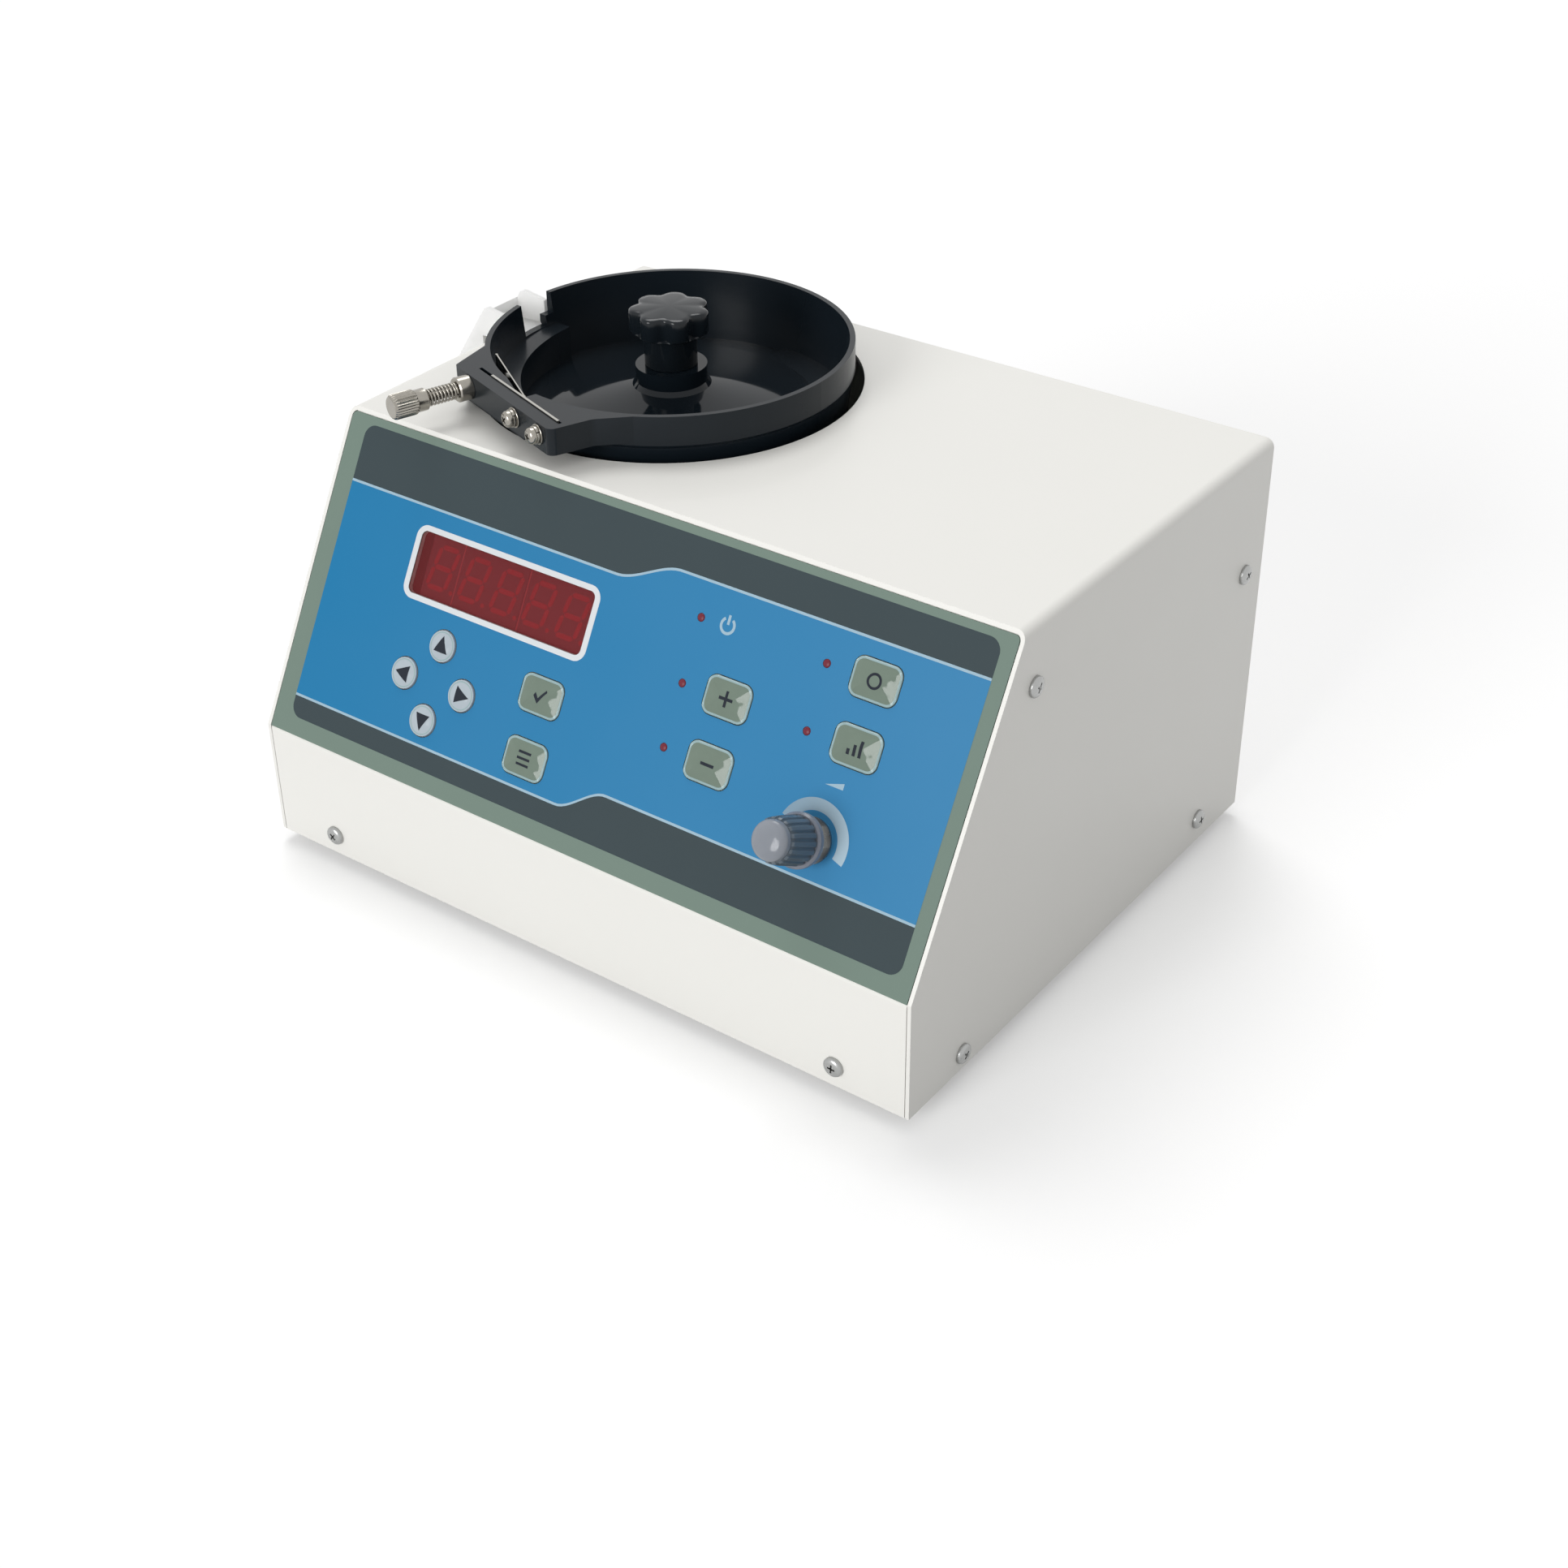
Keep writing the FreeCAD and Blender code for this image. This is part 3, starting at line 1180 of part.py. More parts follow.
def power_inlet():
    """Recessed mains inlet with three flat pins."""
    flange = rounded_plate(INLET_W + 4, INLET_H + 4, 2.5, 0, INLET_FLANGE)
    body = rounded_plate(INLET_W, INLET_H, 2, -INLET_T, 0)
    recess = rounded_plate(INLET_W - 4, INLET_H - 4, 3, -INLET_T + 2, INLET_FLANGE + 1)
    shell = cut(fuse(flange, body), recess)
    pins = [box(x - 1, x + 1, y - 2, y + 2, -INLET_T + 1, -PIN_DEEP) for x, y in ((-7, -1.5), (0, 2.5), (7, -1.5))]
    looking_back = Rotation(Vector(1, 0, 0), -90)
    return moved(fuse(shell, *pins), INLET_X, BACK, REAR_Z, looking_back)


def pivot(radius, overhang):
    """Bar along the rocker's axis, reaching past its sides."""
    half = ROCKER_W / 2 + overhang
    return moved(rod(radius, -half, half), turn=Rotation(Vector(0, 1, 0), 90))


def power_switch():
    """Snap-in frame round the rocker."""
    width = ROCKER_W + 2 * SWITCH_WALL
    height = ROCKER_H + 2 * SWITCH_WALL
    flange = rounded_plate(width + 2 * SWITCH_WALL, height + 2 * SWITCH_WALL, SWITCH_WALL, 0, SWITCH_FLANGE)
    body = rounded_plate(width, height, 0, -SWITCH_DEEP, 0)
    room = rounded_plate(ROCKER_W + 2 * KEY_GAP, ROCKER_H + 2 * KEY_GAP, 0, -SWITCH_DEEP + 2, SWITCH_FLANGE + 1)
    looking_back = Rotation(Vector(1, 0, 0), -90)
    frame = cut(fuse(flange, body), room, pivot(PIVOT_R + RUN_PLAY, PIVOT_REACH + RUN_PLAY))
    return moved(frame, SWITCH_X, BACK, REAR_Z, looking_back)


def switch_rocker():
    """Dished rocker, stored tipped to off, on a pivot across its middle."""
    half_h = ROCKER_H / 2 - 0.5
    bend = math.tan(math.radians(ROCKER_SWING)) * half_h
    section = [(-half_h, 1.6 + bend), (0, 1.6), (half_h, 1.6 + bend), (half_h - 1.4, -2.2), (2.5, -4.5),
               (-2.5, -4.5), (-half_h + 1.4, -2.2)]
    body = side_prism(section, [0.4, 0, 0.4, 0, 0, 0, 0], -ROCKER_W / 2, ROCKER_W / 2)
    tipped = moved(fuse(body, pivot(PIVOT_R, PIVOT_REACH)), turn=Rotation(Vector(1, 0, 0), ROCKER_SWING))
    looking_back = Rotation(Vector(1, 0, 0), -90)
    return moved(tipped, SWITCH_X, BACK, REAR_Z, looking_back)


def fuse_holder():
    """Panel fuse holder with its slotted cap."""
    body = rod(FUSE_R - FIT_GAP, -FUSE_DEEP, 0)
    grip_r = FUSE_CAP_R - FUSE_RIM_T + 0.4
    cap = turned([(0, 0), (FUSE_CAP_R, 0), (FUSE_CAP_R, FUSE_RIM_T), (grip_r, FUSE_RIM_T),
                  (grip_r - 0.5, FUSE_CAP_L), (0, FUSE_CAP_L)])
    slot = rounded_plate(FUSE_CAP_R, SHEET, 0, FUSE_CAP_L - SHEET, FUSE_CAP_L + 1)
    looking_back = Rotation(Vector(1, 0, 0), -90)
    return moved(fuse(cut(cap, slot), body), FUSE_X, BACK, REAR_Z, looking_back)


def build():
    """Every piece of the seed counter, by name."""
    pieces = {
        "base_tray": base_tray(), "front_panel": front_panel(), "top_cover": top_cover(),
        "panel_overlay": panel_overlay(), "feet": feet(), "case_screws": case_screws(),
        "display_window": display_window(), "single_digit_module": digit_module(0, 1),
        "double_digit_modules": group([digit_module(1, 2), digit_module(3, 2)]),
        "control_board": control_board(), "board_spacers": board_spacers(),
        "board_screws": board_screws(), "key_switches": key_switches(),
        "indicator_leds": indicator_leds(), "speed_pot": speed_pot(), "pot_shaft": pot_shaft(),
        "pot_washer": pot_washer(), "pot_nut": pot_nut(), "speed_knob": speed_knob(),
        "speed_knob_cap": speed_knob_cap(), "isolators": isolators(), "feeder_base": feeder_base(),
        "magnet_core": magnet_core(), "magnet_coil": magnet_coil(), "armature": armature(),
        "vibrating_table": vibrating_table(), "centre_stud": centre_stud(),
        "leaf_springs": leaf_springs(), "lower_spring_clamps": spring_clamps(False),
        "upper_spring_clamps": spring_clamps(True), "bowl": bowl(), "star_knob": star_knob(),
        "knob_insert": knob_insert(), "gate_strip": gate_strip(), "gate_leaf": gate_leaf(),
        "gate_screws": gate_screws(), "gate_bushing": gate_bushing(), "gate_spring": gate_spring(),
        "gate_plunger": gate_plunger(), "thumb_screw": thumb_screw(), "chute": chute(),
        "light_emitter": sensor(-1), "light_receiver": sensor(1), "chute_bracket": chute_bracket(),
        "hasp_arm": hasp_arm(), "transformer": transformer(), "power_inlet": power_inlet(),
        "power_switch": power_switch(), "switch_rocker": switch_rocker(), "fuse_holder": fuse_holder(),
    }
    for name, place in ARROW_KEYS.items():
        pieces[name] = arrow_key(*place)
    for name, place in PLAIN_KEYS.items():
        pieces[name] = plain_key(*place)
    return pieces


def main():
    os.makedirs("parts", exist_ok=True)
    for name, shape in build().items():
        shape.exportStep(os.path.join("parts", name + ".step"))


main()
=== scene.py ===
"""Looks of a bench seed counter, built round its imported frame.

Sizes are in millimetres until a mesh is made. X runs right, Y back and Z up.
"""

import logging
import math
from dataclasses import dataclass
from enum import Enum
from typing import Callable, Iterable, Optional, Sequence, Union

import bmesh
import bpy
from mathutils import Matrix, Vector


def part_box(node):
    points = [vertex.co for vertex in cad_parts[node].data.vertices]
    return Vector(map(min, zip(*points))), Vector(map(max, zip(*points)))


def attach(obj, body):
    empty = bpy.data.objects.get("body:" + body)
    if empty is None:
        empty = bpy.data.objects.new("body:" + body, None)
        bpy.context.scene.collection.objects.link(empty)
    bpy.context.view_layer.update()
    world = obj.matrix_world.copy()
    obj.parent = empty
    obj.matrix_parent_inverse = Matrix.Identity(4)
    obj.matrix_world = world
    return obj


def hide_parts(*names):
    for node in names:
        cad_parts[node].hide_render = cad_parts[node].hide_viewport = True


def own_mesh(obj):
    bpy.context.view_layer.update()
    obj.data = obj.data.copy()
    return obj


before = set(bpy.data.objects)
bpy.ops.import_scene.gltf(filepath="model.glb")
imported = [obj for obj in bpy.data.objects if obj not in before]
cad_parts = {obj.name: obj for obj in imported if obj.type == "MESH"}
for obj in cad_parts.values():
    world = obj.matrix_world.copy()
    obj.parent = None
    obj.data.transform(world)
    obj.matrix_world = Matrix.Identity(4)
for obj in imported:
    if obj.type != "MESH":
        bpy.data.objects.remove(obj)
log = logging.getLogger("seed_counter")

Colour = tuple[float, float, float]
Point = tuple[float, float]
Outline = list[Point]
Shape = bmesh.types.BMesh
MM = 0.001


def seen(red: int, green: int, blue: int) -> Colour:
    """Turns a colour as a screen shows it, 0 to 255, into the linear one that a shader needs."""
    def straighten(level: float) -> float:
        """One channel, made linear."""
        return level / 12.92 if level <= 0.04045 else ((level + 0.055) / 1.055) ** 2.4
    return straighten(red / 255), straighten(green / 255), straighten(blue / 255)


# Shader maths
class Signal:
    """A number inside a shader. Arithmetic on it adds Math nodes."""

    def __init__(self, graph: "Graph", socket: bpy.types.NodeSocket) -> None:
        """Remembers the socket and the graph that it belongs to."""
        self.graph = graph
        self.socket = socket

    def maths(self, operation: str, *values: "Feed") -> "Signal":
        """One Math node.

        Args:
            operation: the node's operation.
            values: its inputs, in order.

        Returns:
            The node's result.
        """
        return self.graph.signal("ShaderNodeMath", {"operation": operation}, dict(enumerate(values)))

    def __add__(self, other: "Feed") -> "Signal":
        """Sum."""
        return self.maths("ADD", self, other)

    def __radd__(self, other: "Feed") -> "Signal":
        """Sum with a plain number first."""
        return self.maths("ADD", other, self)

    def __sub__(self, other: "Feed") -> "Signal":
        """Difference."""
        return self.maths("SUBTRACT", self, other)

    def __rsub__(self, other: "Feed") -> "Signal":
        """Difference with a plain number first."""
        return self.maths("SUBTRACT", other, self)

    def __mul__(self, other: "Feed") -> "Signal":
        """Product."""
        return self.maths("MULTIPLY", self, other)

    def __rmul__(self, other: "Feed") -> "Signal":
        """Product with a plain number first."""
        return self.maths("MULTIPLY", other, self)

    def __gt__(self, other: "Feed") -> "Signal":
        """One where this is greater, or else zero."""
        return self.maths("GREATER_THAN", self, other)

    def highest(self, other: "Feed") -> "Signal":
        """The greater of two numbers."""
        return self.maths("MAXIMUM", self, other)

    def sine(self) -> "Signal":
        """Sine of an angle in radians."""
        return self.maths("SINE", self)


Feed = Union[Signal, float, int, tuple]


class Graph:
    """The nodes of one material or of the world."""

    def __init__(self, tree: bpy.types.NodeTree) -> None:
        """Keeps the tree that nodes are added to."""
        self.tree = tree

    def add(self, kind: str, settings: Optional[dict] = None,
            inputs: Optional[dict] = None) -> bpy.types.Node:
        """Adds a node.

        Args:
            kind: the node's type.
            settings: its attributes; "stops" is a ramp's list of (place, colour).
            inputs: values or signals for its sockets, by name or number.

        Returns:
            The node.
        """
        node = self.tree.nodes.new(kind)
        for name, value in (settings or {}).items():
            if name == "stops":
                self.set_stops(node.color_ramp, value)
            else:
                setattr(node, name, value)
        for name, value in (inputs or {}).items():
            self.feed(node.inputs[name], value)
        return node

    def set_stops(self, ramp: bpy.types.ColorRamp, stops: Sequence[tuple[float, Colour]]) -> None:
        """Sets the colours along a ramp."""
        while len(ramp.elements) < len(stops):
            ramp.elements.new(1.0)
        for element, (place, colour) in zip(ramp.elements, stops):
            element.position = place
            element.color = (*colour, 1.0)

    def feed(self, socket: bpy.types.NodeSocket, value: Feed) -> None:
        """Links a signal to a socket, or sets the socket's own value."""
        if isinstance(value, Signal):
            self.tree.links.new(value.socket, socket)
        elif isinstance(value, tuple) and socket.type == "RGBA":
            socket.default_value = (*value, 1.0)
        else:
            socket.default_value = value

    def signal(self, kind: str, settings: Optional[dict] = None, inputs: Optional[dict] = None,
               output: Union[int, str] = 0) -> Signal:
        """Adds a node and returns one of its outputs.

        Args:
            kind: the node's type.
            settings: its attributes.
            inputs: values or signals for its sockets.
            output: the wanted output, by name or number.

        Returns:
            The output as a signal.
        """
        return Signal(self, self.add(kind, settings, inputs).outputs[output])

    def place(self) -> Signal:
        """Where a point of the piece is, in metres."""
        return self.signal("ShaderNodeTexCoord", output="Object")

    def axis(self, name: str) -> Signal:
        """One coordinate of that place."""
        return self.signal("ShaderNodeSeparateXYZ", None, {0: self.place()}, name)

    def noise(self, size: float, detail: float = 2.0, stretch: Colour = (1.0, 1.0, 1.0)) -> Signal:
        """Soft random pattern from 0 to 1.

        Args:
            size: width of its spots in millimetres.
            detail: how many finer layers it has.
            stretch: how much the pattern is pressed together along each axis.

        Returns:
            The pattern.
        """
        spot = self.vector("MULTIPLY", self.place(), stretch)
        inputs = {"Vector": spot, "Scale": 1.0 / (size * MM), "Detail": detail}
        return self.signal("ShaderNodeTexNoise", None, inputs)

    def vector(self, operation: str, *values: Feed, output: str = "Vector") -> Signal:
        """One Vector Math node."""
        inputs = dict(enumerate(values))
        return self.signal("ShaderNodeVectorMath", {"operation": operation}, inputs, output)

    def blend(self, share: Feed, first: Feed, second: Feed, mode: str = "MIX") -> Signal:
        """Mixes two colours by a share."""
        settings = {"data_type": "RGBA", "blend_type": mode}
        return self.signal("ShaderNodeMix", settings, {0: share, 6: first, 7: second}, 2)

    def relief(self, height: Signal, depth: float) -> Signal:
        """Turns a height from 0 to 1 into a normal.

        Args:
            height: the relief's pattern.
            depth: its depth in millimetres.

        Returns:
            The normal.
        """
        return self.signal("ShaderNodeBump", None, {"Height": height, "Distance": depth * MM})


# Finishes
@dataclass(frozen=True)
class Finish:
    """A surface: its colour, its gloss and the fine relief that the eye reads as the material."""

    name: str
    colour: Colour
    rough: float
    metal: float = 0.0
    coat: float = 0.0
    ior: float = 1.45
    mottle: float = 0.04        # share by which the colour varies
    mottle_size: float = 14.0
    scuff: float = 0.06         # how much the roughness varies
    scuff_size: float = 6.0
    grain: float = 0.004        # depth of the relief
    grain_size: float = 0.5
    brushed: Colour = (1.0, 1.0, 1.0)

    def material(self) -> bpy.types.Material:
        """Builds the material, or finds it again.

        Returns:
            The one material of this finish.
        """
        known = bpy.data.materials.get(self.name)
        if known:
            return known
        made = bpy.data.materials.new(self.name)
        made.use_nodes = True
        made.diffuse_color = (*self.colour, 1.0)
        graph = Graph(made.node_tree)
        shader = made.node_tree.nodes["Principled BSDF"]
        graph.feed(shader.inputs["Base Color"], self.tint(graph))
        graph.feed(shader.inputs["Roughness"], self.dullness(graph))
        graph.feed(shader.inputs["Normal"], graph.relief(self.height(graph), self.grain))
        graph.feed(shader.inputs["Metallic"], self.metal)
        graph.feed(shader.inputs["Coat Weight"], self.coat)
        graph.feed(shader.inputs["IOR"], self.ior)
        self.finish(graph, shader)
        return made

    def tint(self, graph: Graph) -> Signal:
        """The colour, a little lighter and darker in soft patches."""
        patch = graph.noise(self.mottle_size, 3.0, self.brushed)
        low = tuple(c * (1 - self.mottle) for c in self.colour)
        high = tuple(min(1.0, c * (1 + self.mottle)) for c in self.colour)
        return graph.blend(patch, low, high)

    def dullness(self, graph: Graph) -> Signal:
        """The roughness, with faint handling marks."""
        mark = graph.noise(self.scuff_size, 4.0, self.brushed)
        return self.rough + (mark - 0.5) * (2 * self.scuff)

    def height(self, graph: Graph) -> Signal:
        """The fine relief."""
        return graph.noise(self.grain_size, 2.0, self.brushed)

    def finish(self, graph: Graph, shader: bpy.types.Node) -> None:
        """Sets what only some finishes need."""


@dataclass(frozen=True)
class Ink(Finish):
    """Printed film, which shows little gloss."""

    rough: float = 0.44
    ior: float = 1.1
    grain: float = 0.003


@dataclass(frozen=True)
class FadedInk(Ink):
    """Ink that is a little paler towards the right."""

    far_colour: Colour = (1.0, 1.0, 1.0)
    left: float = 0.0
    right: float = 240.0

    def tint(self, graph: Graph) -> Signal:
        """The ink's colour, faded from left to right."""
        along = graph.signal("ShaderNodeMapRange", None, {
            "Value": graph.axis("X"), "From Min": self.left * MM, "From Max": self.right * MM})
        patch = graph.noise(self.mottle_size, 3.0)
        shade = graph.blend(along, self.colour, self.far_colour)
        return graph.blend(patch * self.mottle, shade, (1.0, 1.0, 1.0))


@dataclass(frozen=True)
class TurnedMetal(Finish):
    """Metal with the fine rings that a lathe leaves along its axis."""

    metal: float = 1.0
    pitch: float = 0.12
    heading: Colour = (0.0, 0.0, 1.0)
    ring_share: float = 0.35    # how strong the rings are beside the plain grain
    waver: float = 3.0          # how far they stray, in radians
    waver_size: float = 1.2

    def height(self, graph: Graph) -> Signal:
        """Rings along the heading, broken up a little."""
        along = graph.vector("DOT_PRODUCT", graph.place(), self.heading, output="Value")
        turns = 2 * math.pi / (self.pitch * MM)
        rings = (along * turns + graph.noise(self.waver_size) * self.waver).sine()
        return rings * self.ring_share + graph.noise(self.grain_size)


@dataclass(frozen=True)
class PolishedFloor(Finish):
    """Moulding that is glossy within a circle and duller round it."""

    centre: Point = (44.2, 96.8)
    reach: float = 42.3
    gloss: float = 0.07

    def dullness(self, graph: Graph) -> Signal:
        """The roughness, with faint handling marks."""
        mark = graph.noise(self.scuff_size, 4.0)
        middle = (self.centre[0] * MM, self.centre[1] * MM, 0.0)
        away = graph.vector("SUBTRACT", graph.place(), middle)
        flat = graph.vector("MULTIPLY", away, (1.0, 1.0, 0.0))
        outside = graph.vector("LENGTH", flat, output="Value") > self.reach * MM
        return self.gloss + outside * (self.rough - self.gloss) + (mark - 0.5) * (2 * self.scuff)


@dataclass(frozen=True)
class Clear(Finish):
    """Tinted plastic that lets part of what lies behind it show."""

    opacity: float = 0.7

    def finish(self, graph: Graph, shader: bpy.types.Node) -> None:
        """Sets how much shows through."""
        shader.inputs["Alpha"].default_value = self.opacity


@dataclass(frozen=True)
class Smoky(Finish):
    """Cloudy moulding that light enters and scatters in."""

    share: float = 0.5
    depth: float = 3.0

    def finish(self, graph: Graph, shader: bpy.types.Node) -> None:
        """Sets the scatter under the surface."""
        shader.inputs["Subsurface Weight"].default_value = self.share
        shader.inputs["Subsurface Radius"].default_value = (1.0, 1.0, 1.0)
        shader.inputs["Subsurface Scale"].default_value = self.depth * MM


POWDER_COAT = Finish("powder_coat", seen(244, 243, 238), 0.38, coat=0.12, mottle=0.012, mottle_size=60.0,
                     scuff=0.05, scuff_size=25.0, grain=0.012, grain_size=0.9)
OLIVE_INK = Ink("olive_ink", seen(124, 142, 132), 0.46, mottle_size=50.0)
SLATE_INK = Ink("slate_ink", seen(70, 81, 85), mottle=0.06, mottle_size=60.0)
BLUE_INK = FadedInk("blue_ink", seen(38, 126, 176), mottle=0.02, mottle_size=60.0,
                    far_colour=seen(64, 136, 184), left=-16.0, right=208.0)
PALE_INK = Ink("pale_ink", seen(166, 194, 210))
ARC_INK = FadedInk("arc_ink", seen(138, 164, 182), mottle=0.02, far_colour=seen(176, 200, 214),
                   left=164.0, right=184.0)
FRAME_INK = Ink("white_ink", seen(224, 228, 231), mottle=0.02)
MARK_INK = Ink("dark_ink", seen(52, 56, 64), 0.40)
RED_ACRYLIC = Clear("red_acrylic", seen(150, 62, 66), 0.10, ior=1.15, mottle=0.03, mottle_size=30.0,
                    scuff=0.03, grain=0.001, grain_size=3.0, opacity=0.3)
DIGIT_FACE = Ink("digit_face", seen(112, 58, 60), 0.45, grain=0.004)
DIGIT_BAR = Ink("digit_bar", seen(176, 50, 54), 0.35)
# painted highlight: lighter red for the light that the display modules' seams catch
DIGIT_SEAM_HIGHLIGHT = Ink("digit_seam_highlight", seen(186, 78, 80), 0.40)
LAMP_RED = Finish("lamp_red", seen(118, 42, 56), 0.3, ior=1.3, mottle=0.06, mottle_size=1.0, grain=0.002)
KEY_RIM = Finish("key_rim", seen(156, 182, 184), 0.16, ior=1.35, mottle=0.05, mottle_size=3.0, grain=0.004)
KEY_FILM = Finish("key_film", seen(116, 132, 119), 0.09, ior=1.38, mottle=0.06, mottle_size=4.0, scuff=0.03,
                  grain=0.006, grain_size=3.0)
ARROW_FILM = Finish("arrow_film", seen(180, 191, 199), 0.12, ior=1.38, mottle=0.05, mottle_size=3.0,
                    grain=0.006, grain_size=2.0)
NICKEL = TurnedMetal("turned_nickel", seen(160, 156, 148), 0.24, mottle=0.08, mottle_size=3.0,
                     scuff=0.08, grain=0.002, grain_size=0.3, heading=(-0.33, -0.94, 0.0))
STEEL = Finish("brushed_steel", seen(172, 173, 172), 0.30, metal=1.0, mottle=0.06, mottle_size=4.0,
               scuff=0.10, grain=0.003, grain_size=0.25, brushed=(1.0, 6.0, 6.0))
SPRING_STEEL = Finish("spring_steel", seen(180, 178, 172), 0.24, metal=1.0, mottle=0.05, scuff=0.08,
                      grain=0.002, grain_size=0.3, brushed=(5.0, 1.0, 5.0))
BRASS = TurnedMetal("turned_brass", seen(214, 176, 104), 0.28)
BLACK_MOULDING = PolishedFloor("black_moulding", seen(21, 28, 34), 0.24, ior=1.32, mottle=0.18,
                               mottle_size=20.0, scuff=0.03, scuff_size=14.0, grain=0.001, grain_size=2.4)
BLACK_KNOB = Finish("black_knob", seen(22, 28, 33), 0.16, ior=1.36, mottle=0.15, scuff=0.05, grain=0.003,
                    grain_size=1.6)
BLACK_FITTING = Finish("black_fitting", seen(30, 31, 33), 0.36, mottle=0.1, grain=0.010, grain_size=0.4)
KNOB_GRIP = Smoky("smoky_grip", seen(98, 110, 120), 0.22, ior=1.36, mottle=0.06, mottle_size=4.0, grain=0.003)
KNOB_CAP = Smoky("smoky_cap", seen(142, 147, 155), 0.12, ior=1.38, mottle=0.05, mottle_size=4.0, grain=0.002)
KNOB_SKIRT = Smoky("smoky_skirt", seen(130, 134, 144), 0.16, ior=1.38, mottle=0.05, grain=0.002)
RUBBER = Finish("rubber", seen(40, 40, 41), 0.75, mottle=0.15, mottle_size=3.0, grain=0.03, grain_size=0.5)
CAST_IRON = Finish("cast_iron", seen(84, 86, 90), 0.60, mottle=0.14, mottle_size=5.0, grain=0.08,
                   grain_size=1.2)
LAMINATION = TurnedMetal("laminated_core", seen(120, 122, 126), 0.45, metal=0.8, pitch=1.0,
                         heading=(0.0, 1.0, 0.0), grain=0.02)
COPPER = TurnedMetal("enamelled_copper", seen(176, 96, 52), 0.28, metal=0.9, pitch=0.9, grain=0.05)
CIRCUIT_BOARD = Finish("circuit_board", seen(32, 96, 60), 0.34, coat=0.3, mottle=0.1, mottle_size=2.0,
                       grain=0.02, grain_size=0.8)
WHITE_MOULDING = Smoky("white_moulding", seen(250, 250, 248), 0.30, mottle=0.01, mottle_size=20.0,
                       grain=0.004, grain_size=0.8, depth=6.0)
DARK_TINT = Finish("sensor_tint", seen(46, 34, 50), 0.12, coat=0.5, mottle=0.08, grain=0.002)
SWITCH_MARK = Finish("switch_mark", seen(226, 226, 222), 0.40, grain=0.003)


# Mesh building
def turned(profile: Sequence[Point], segments: int = 64,
           wave: Optional[Callable[[float, float, float], float]] = None) -> Shape:
    """Turns a half section round Z.

    Args:
        profile: (radius, height) from the first point to the last; a zero radius is a pole.
        segments: steps round.
        wave: gives the radius for (radius, height, angle), where the piece isn't round.

    Returns:
        The turned shape.
    """
    shape = bmesh.new()
    rings = []
    for radius, height in profile:
        if radius < 1e-6:
            rings.append([shape.verts.new((0.0, 0.0, height))])
            continue
        ring = []
        for step in range(segments):
            angle = 2 * math.pi * step / segments
            reach = wave(radius, height, angle) if wave else radius
            ring.append(shape.verts.new((reach * math.cos(angle), reach * math.sin(angle), height)))
        rings.append(ring)
    for lower, upper in zip(rings, rings[1:]):
        for step in range(segments):
            after = (step + 1) % segments
            corners = [lower[step % len(lower)], lower[after % len(lower)],
                       upper[after % len(upper)], upper[step % len(upper)]]
            unique = list(dict.fromkeys(corners))
            if len(unique) > 2:
                shape.faces.new(unique)
    bmesh.ops.recalc_face_normals(shape, faces=shape.faces)
    return shape


def block(x0: float, x1: float, y0: float, y1: float, z0: float, z1: float,
          edge: float = 0.2, steps: int = 2) -> Shape:
    """Block between two corners, with rounded edges."""
    shape = bmesh.new()
    bmesh.ops.create_cube(shape, size=1.0)
    sides = Matrix.Diagonal((x1 - x0, y1 - y0, z1 - z0, 1.0))
    middle = Matrix.Translation(((x0 + x1) / 2, (y0 + y1) / 2, (z0 + z1) / 2))
    bmesh.ops.transform(shape, matrix=middle @ sides, verts=shape.verts)
    bmesh.ops.bevel(shape, geom=shape.edges[:], offset=edge, segments=steps, profile=0.5, affect="EDGES")
    return shape


def rounded(width: float, height: float, radius: float, x: float = 0.0, y: float = 0.0,
            steps: int = 8) -> Outline:
    """Outline of a rounded rectangle about (x, y)."""
    points = []
    for quarter in range(4):
        side_x = 1 if quarter in (0, 3) else -1
        side_y = 1 if quarter < 2 else -1
        for step in range(steps + 1):
            angle = math.pi / 2 * (quarter + step / steps)
            points.append((x + side_x * (width / 2 - radius) + radius * math.cos(angle),
                           y + side_y * (height / 2 - radius) + radius * math.sin(angle)))
    return points


def disc(radius: float, x: float = 0.0, y: float = 0.0, steps: int = 40) -> Outline:
    """Outline of a circle."""
    return [(x + radius * math.cos(2 * math.pi * i / steps), y + radius * math.sin(2 * math.pi * i / steps))
            for i in range(steps)]


def bar(start: Point, end: Point, width: float) -> Outline:
    """Outline of a straight stroke."""
    run = Vector((end[0] - start[0], end[1] - start[1])).normalized() * (width / 2)
    return [(start[0] - run.y, start[1] + run.x), (start[0] + run.y, start[1] - run.x),
            (end[0] + run.y, end[1] - run.x), (end[0] - run.y, end[1] + run.x)]


def arc(radius: float, width: float, first: float, last: float, x: float = 0.0, y: float = 0.0,
        steps: int = 40) -> Outline:
    """Outline of a curved band between two angles in degrees."""
    points = []
    for side, order in ((width / 2, range(steps + 1)), (-width / 2, range(steps, -1, -1))):
        for step in order:
            angle = math.radians(first + (last - first) * step / steps)
            points.append((x + (radius + side) * math.cos(angle), y + (radius + side) * math.sin(angle)))
    return points


def domed(radius: float, low: float, high: float, steps: int, power: float = 1.0) -> list[Point]:
    """Half section of a dome, from its edge to its pole.

    Args:
        radius: the dome's radius.
        low: height of its edge, whose own point is left out.
        high: height of its pole.
        steps: points along it.
        power: below one, the dome is boxier than a ball.

    Returns:
        The points, as (radius, height).
    """
    points = []
    for step in range(1, steps):
        angle = math.pi / 2 * step / steps
        points.append((radius * math.cos(angle) ** power, low + (high - low) * math.sin(angle)))
    return points + [(0.0, high)]


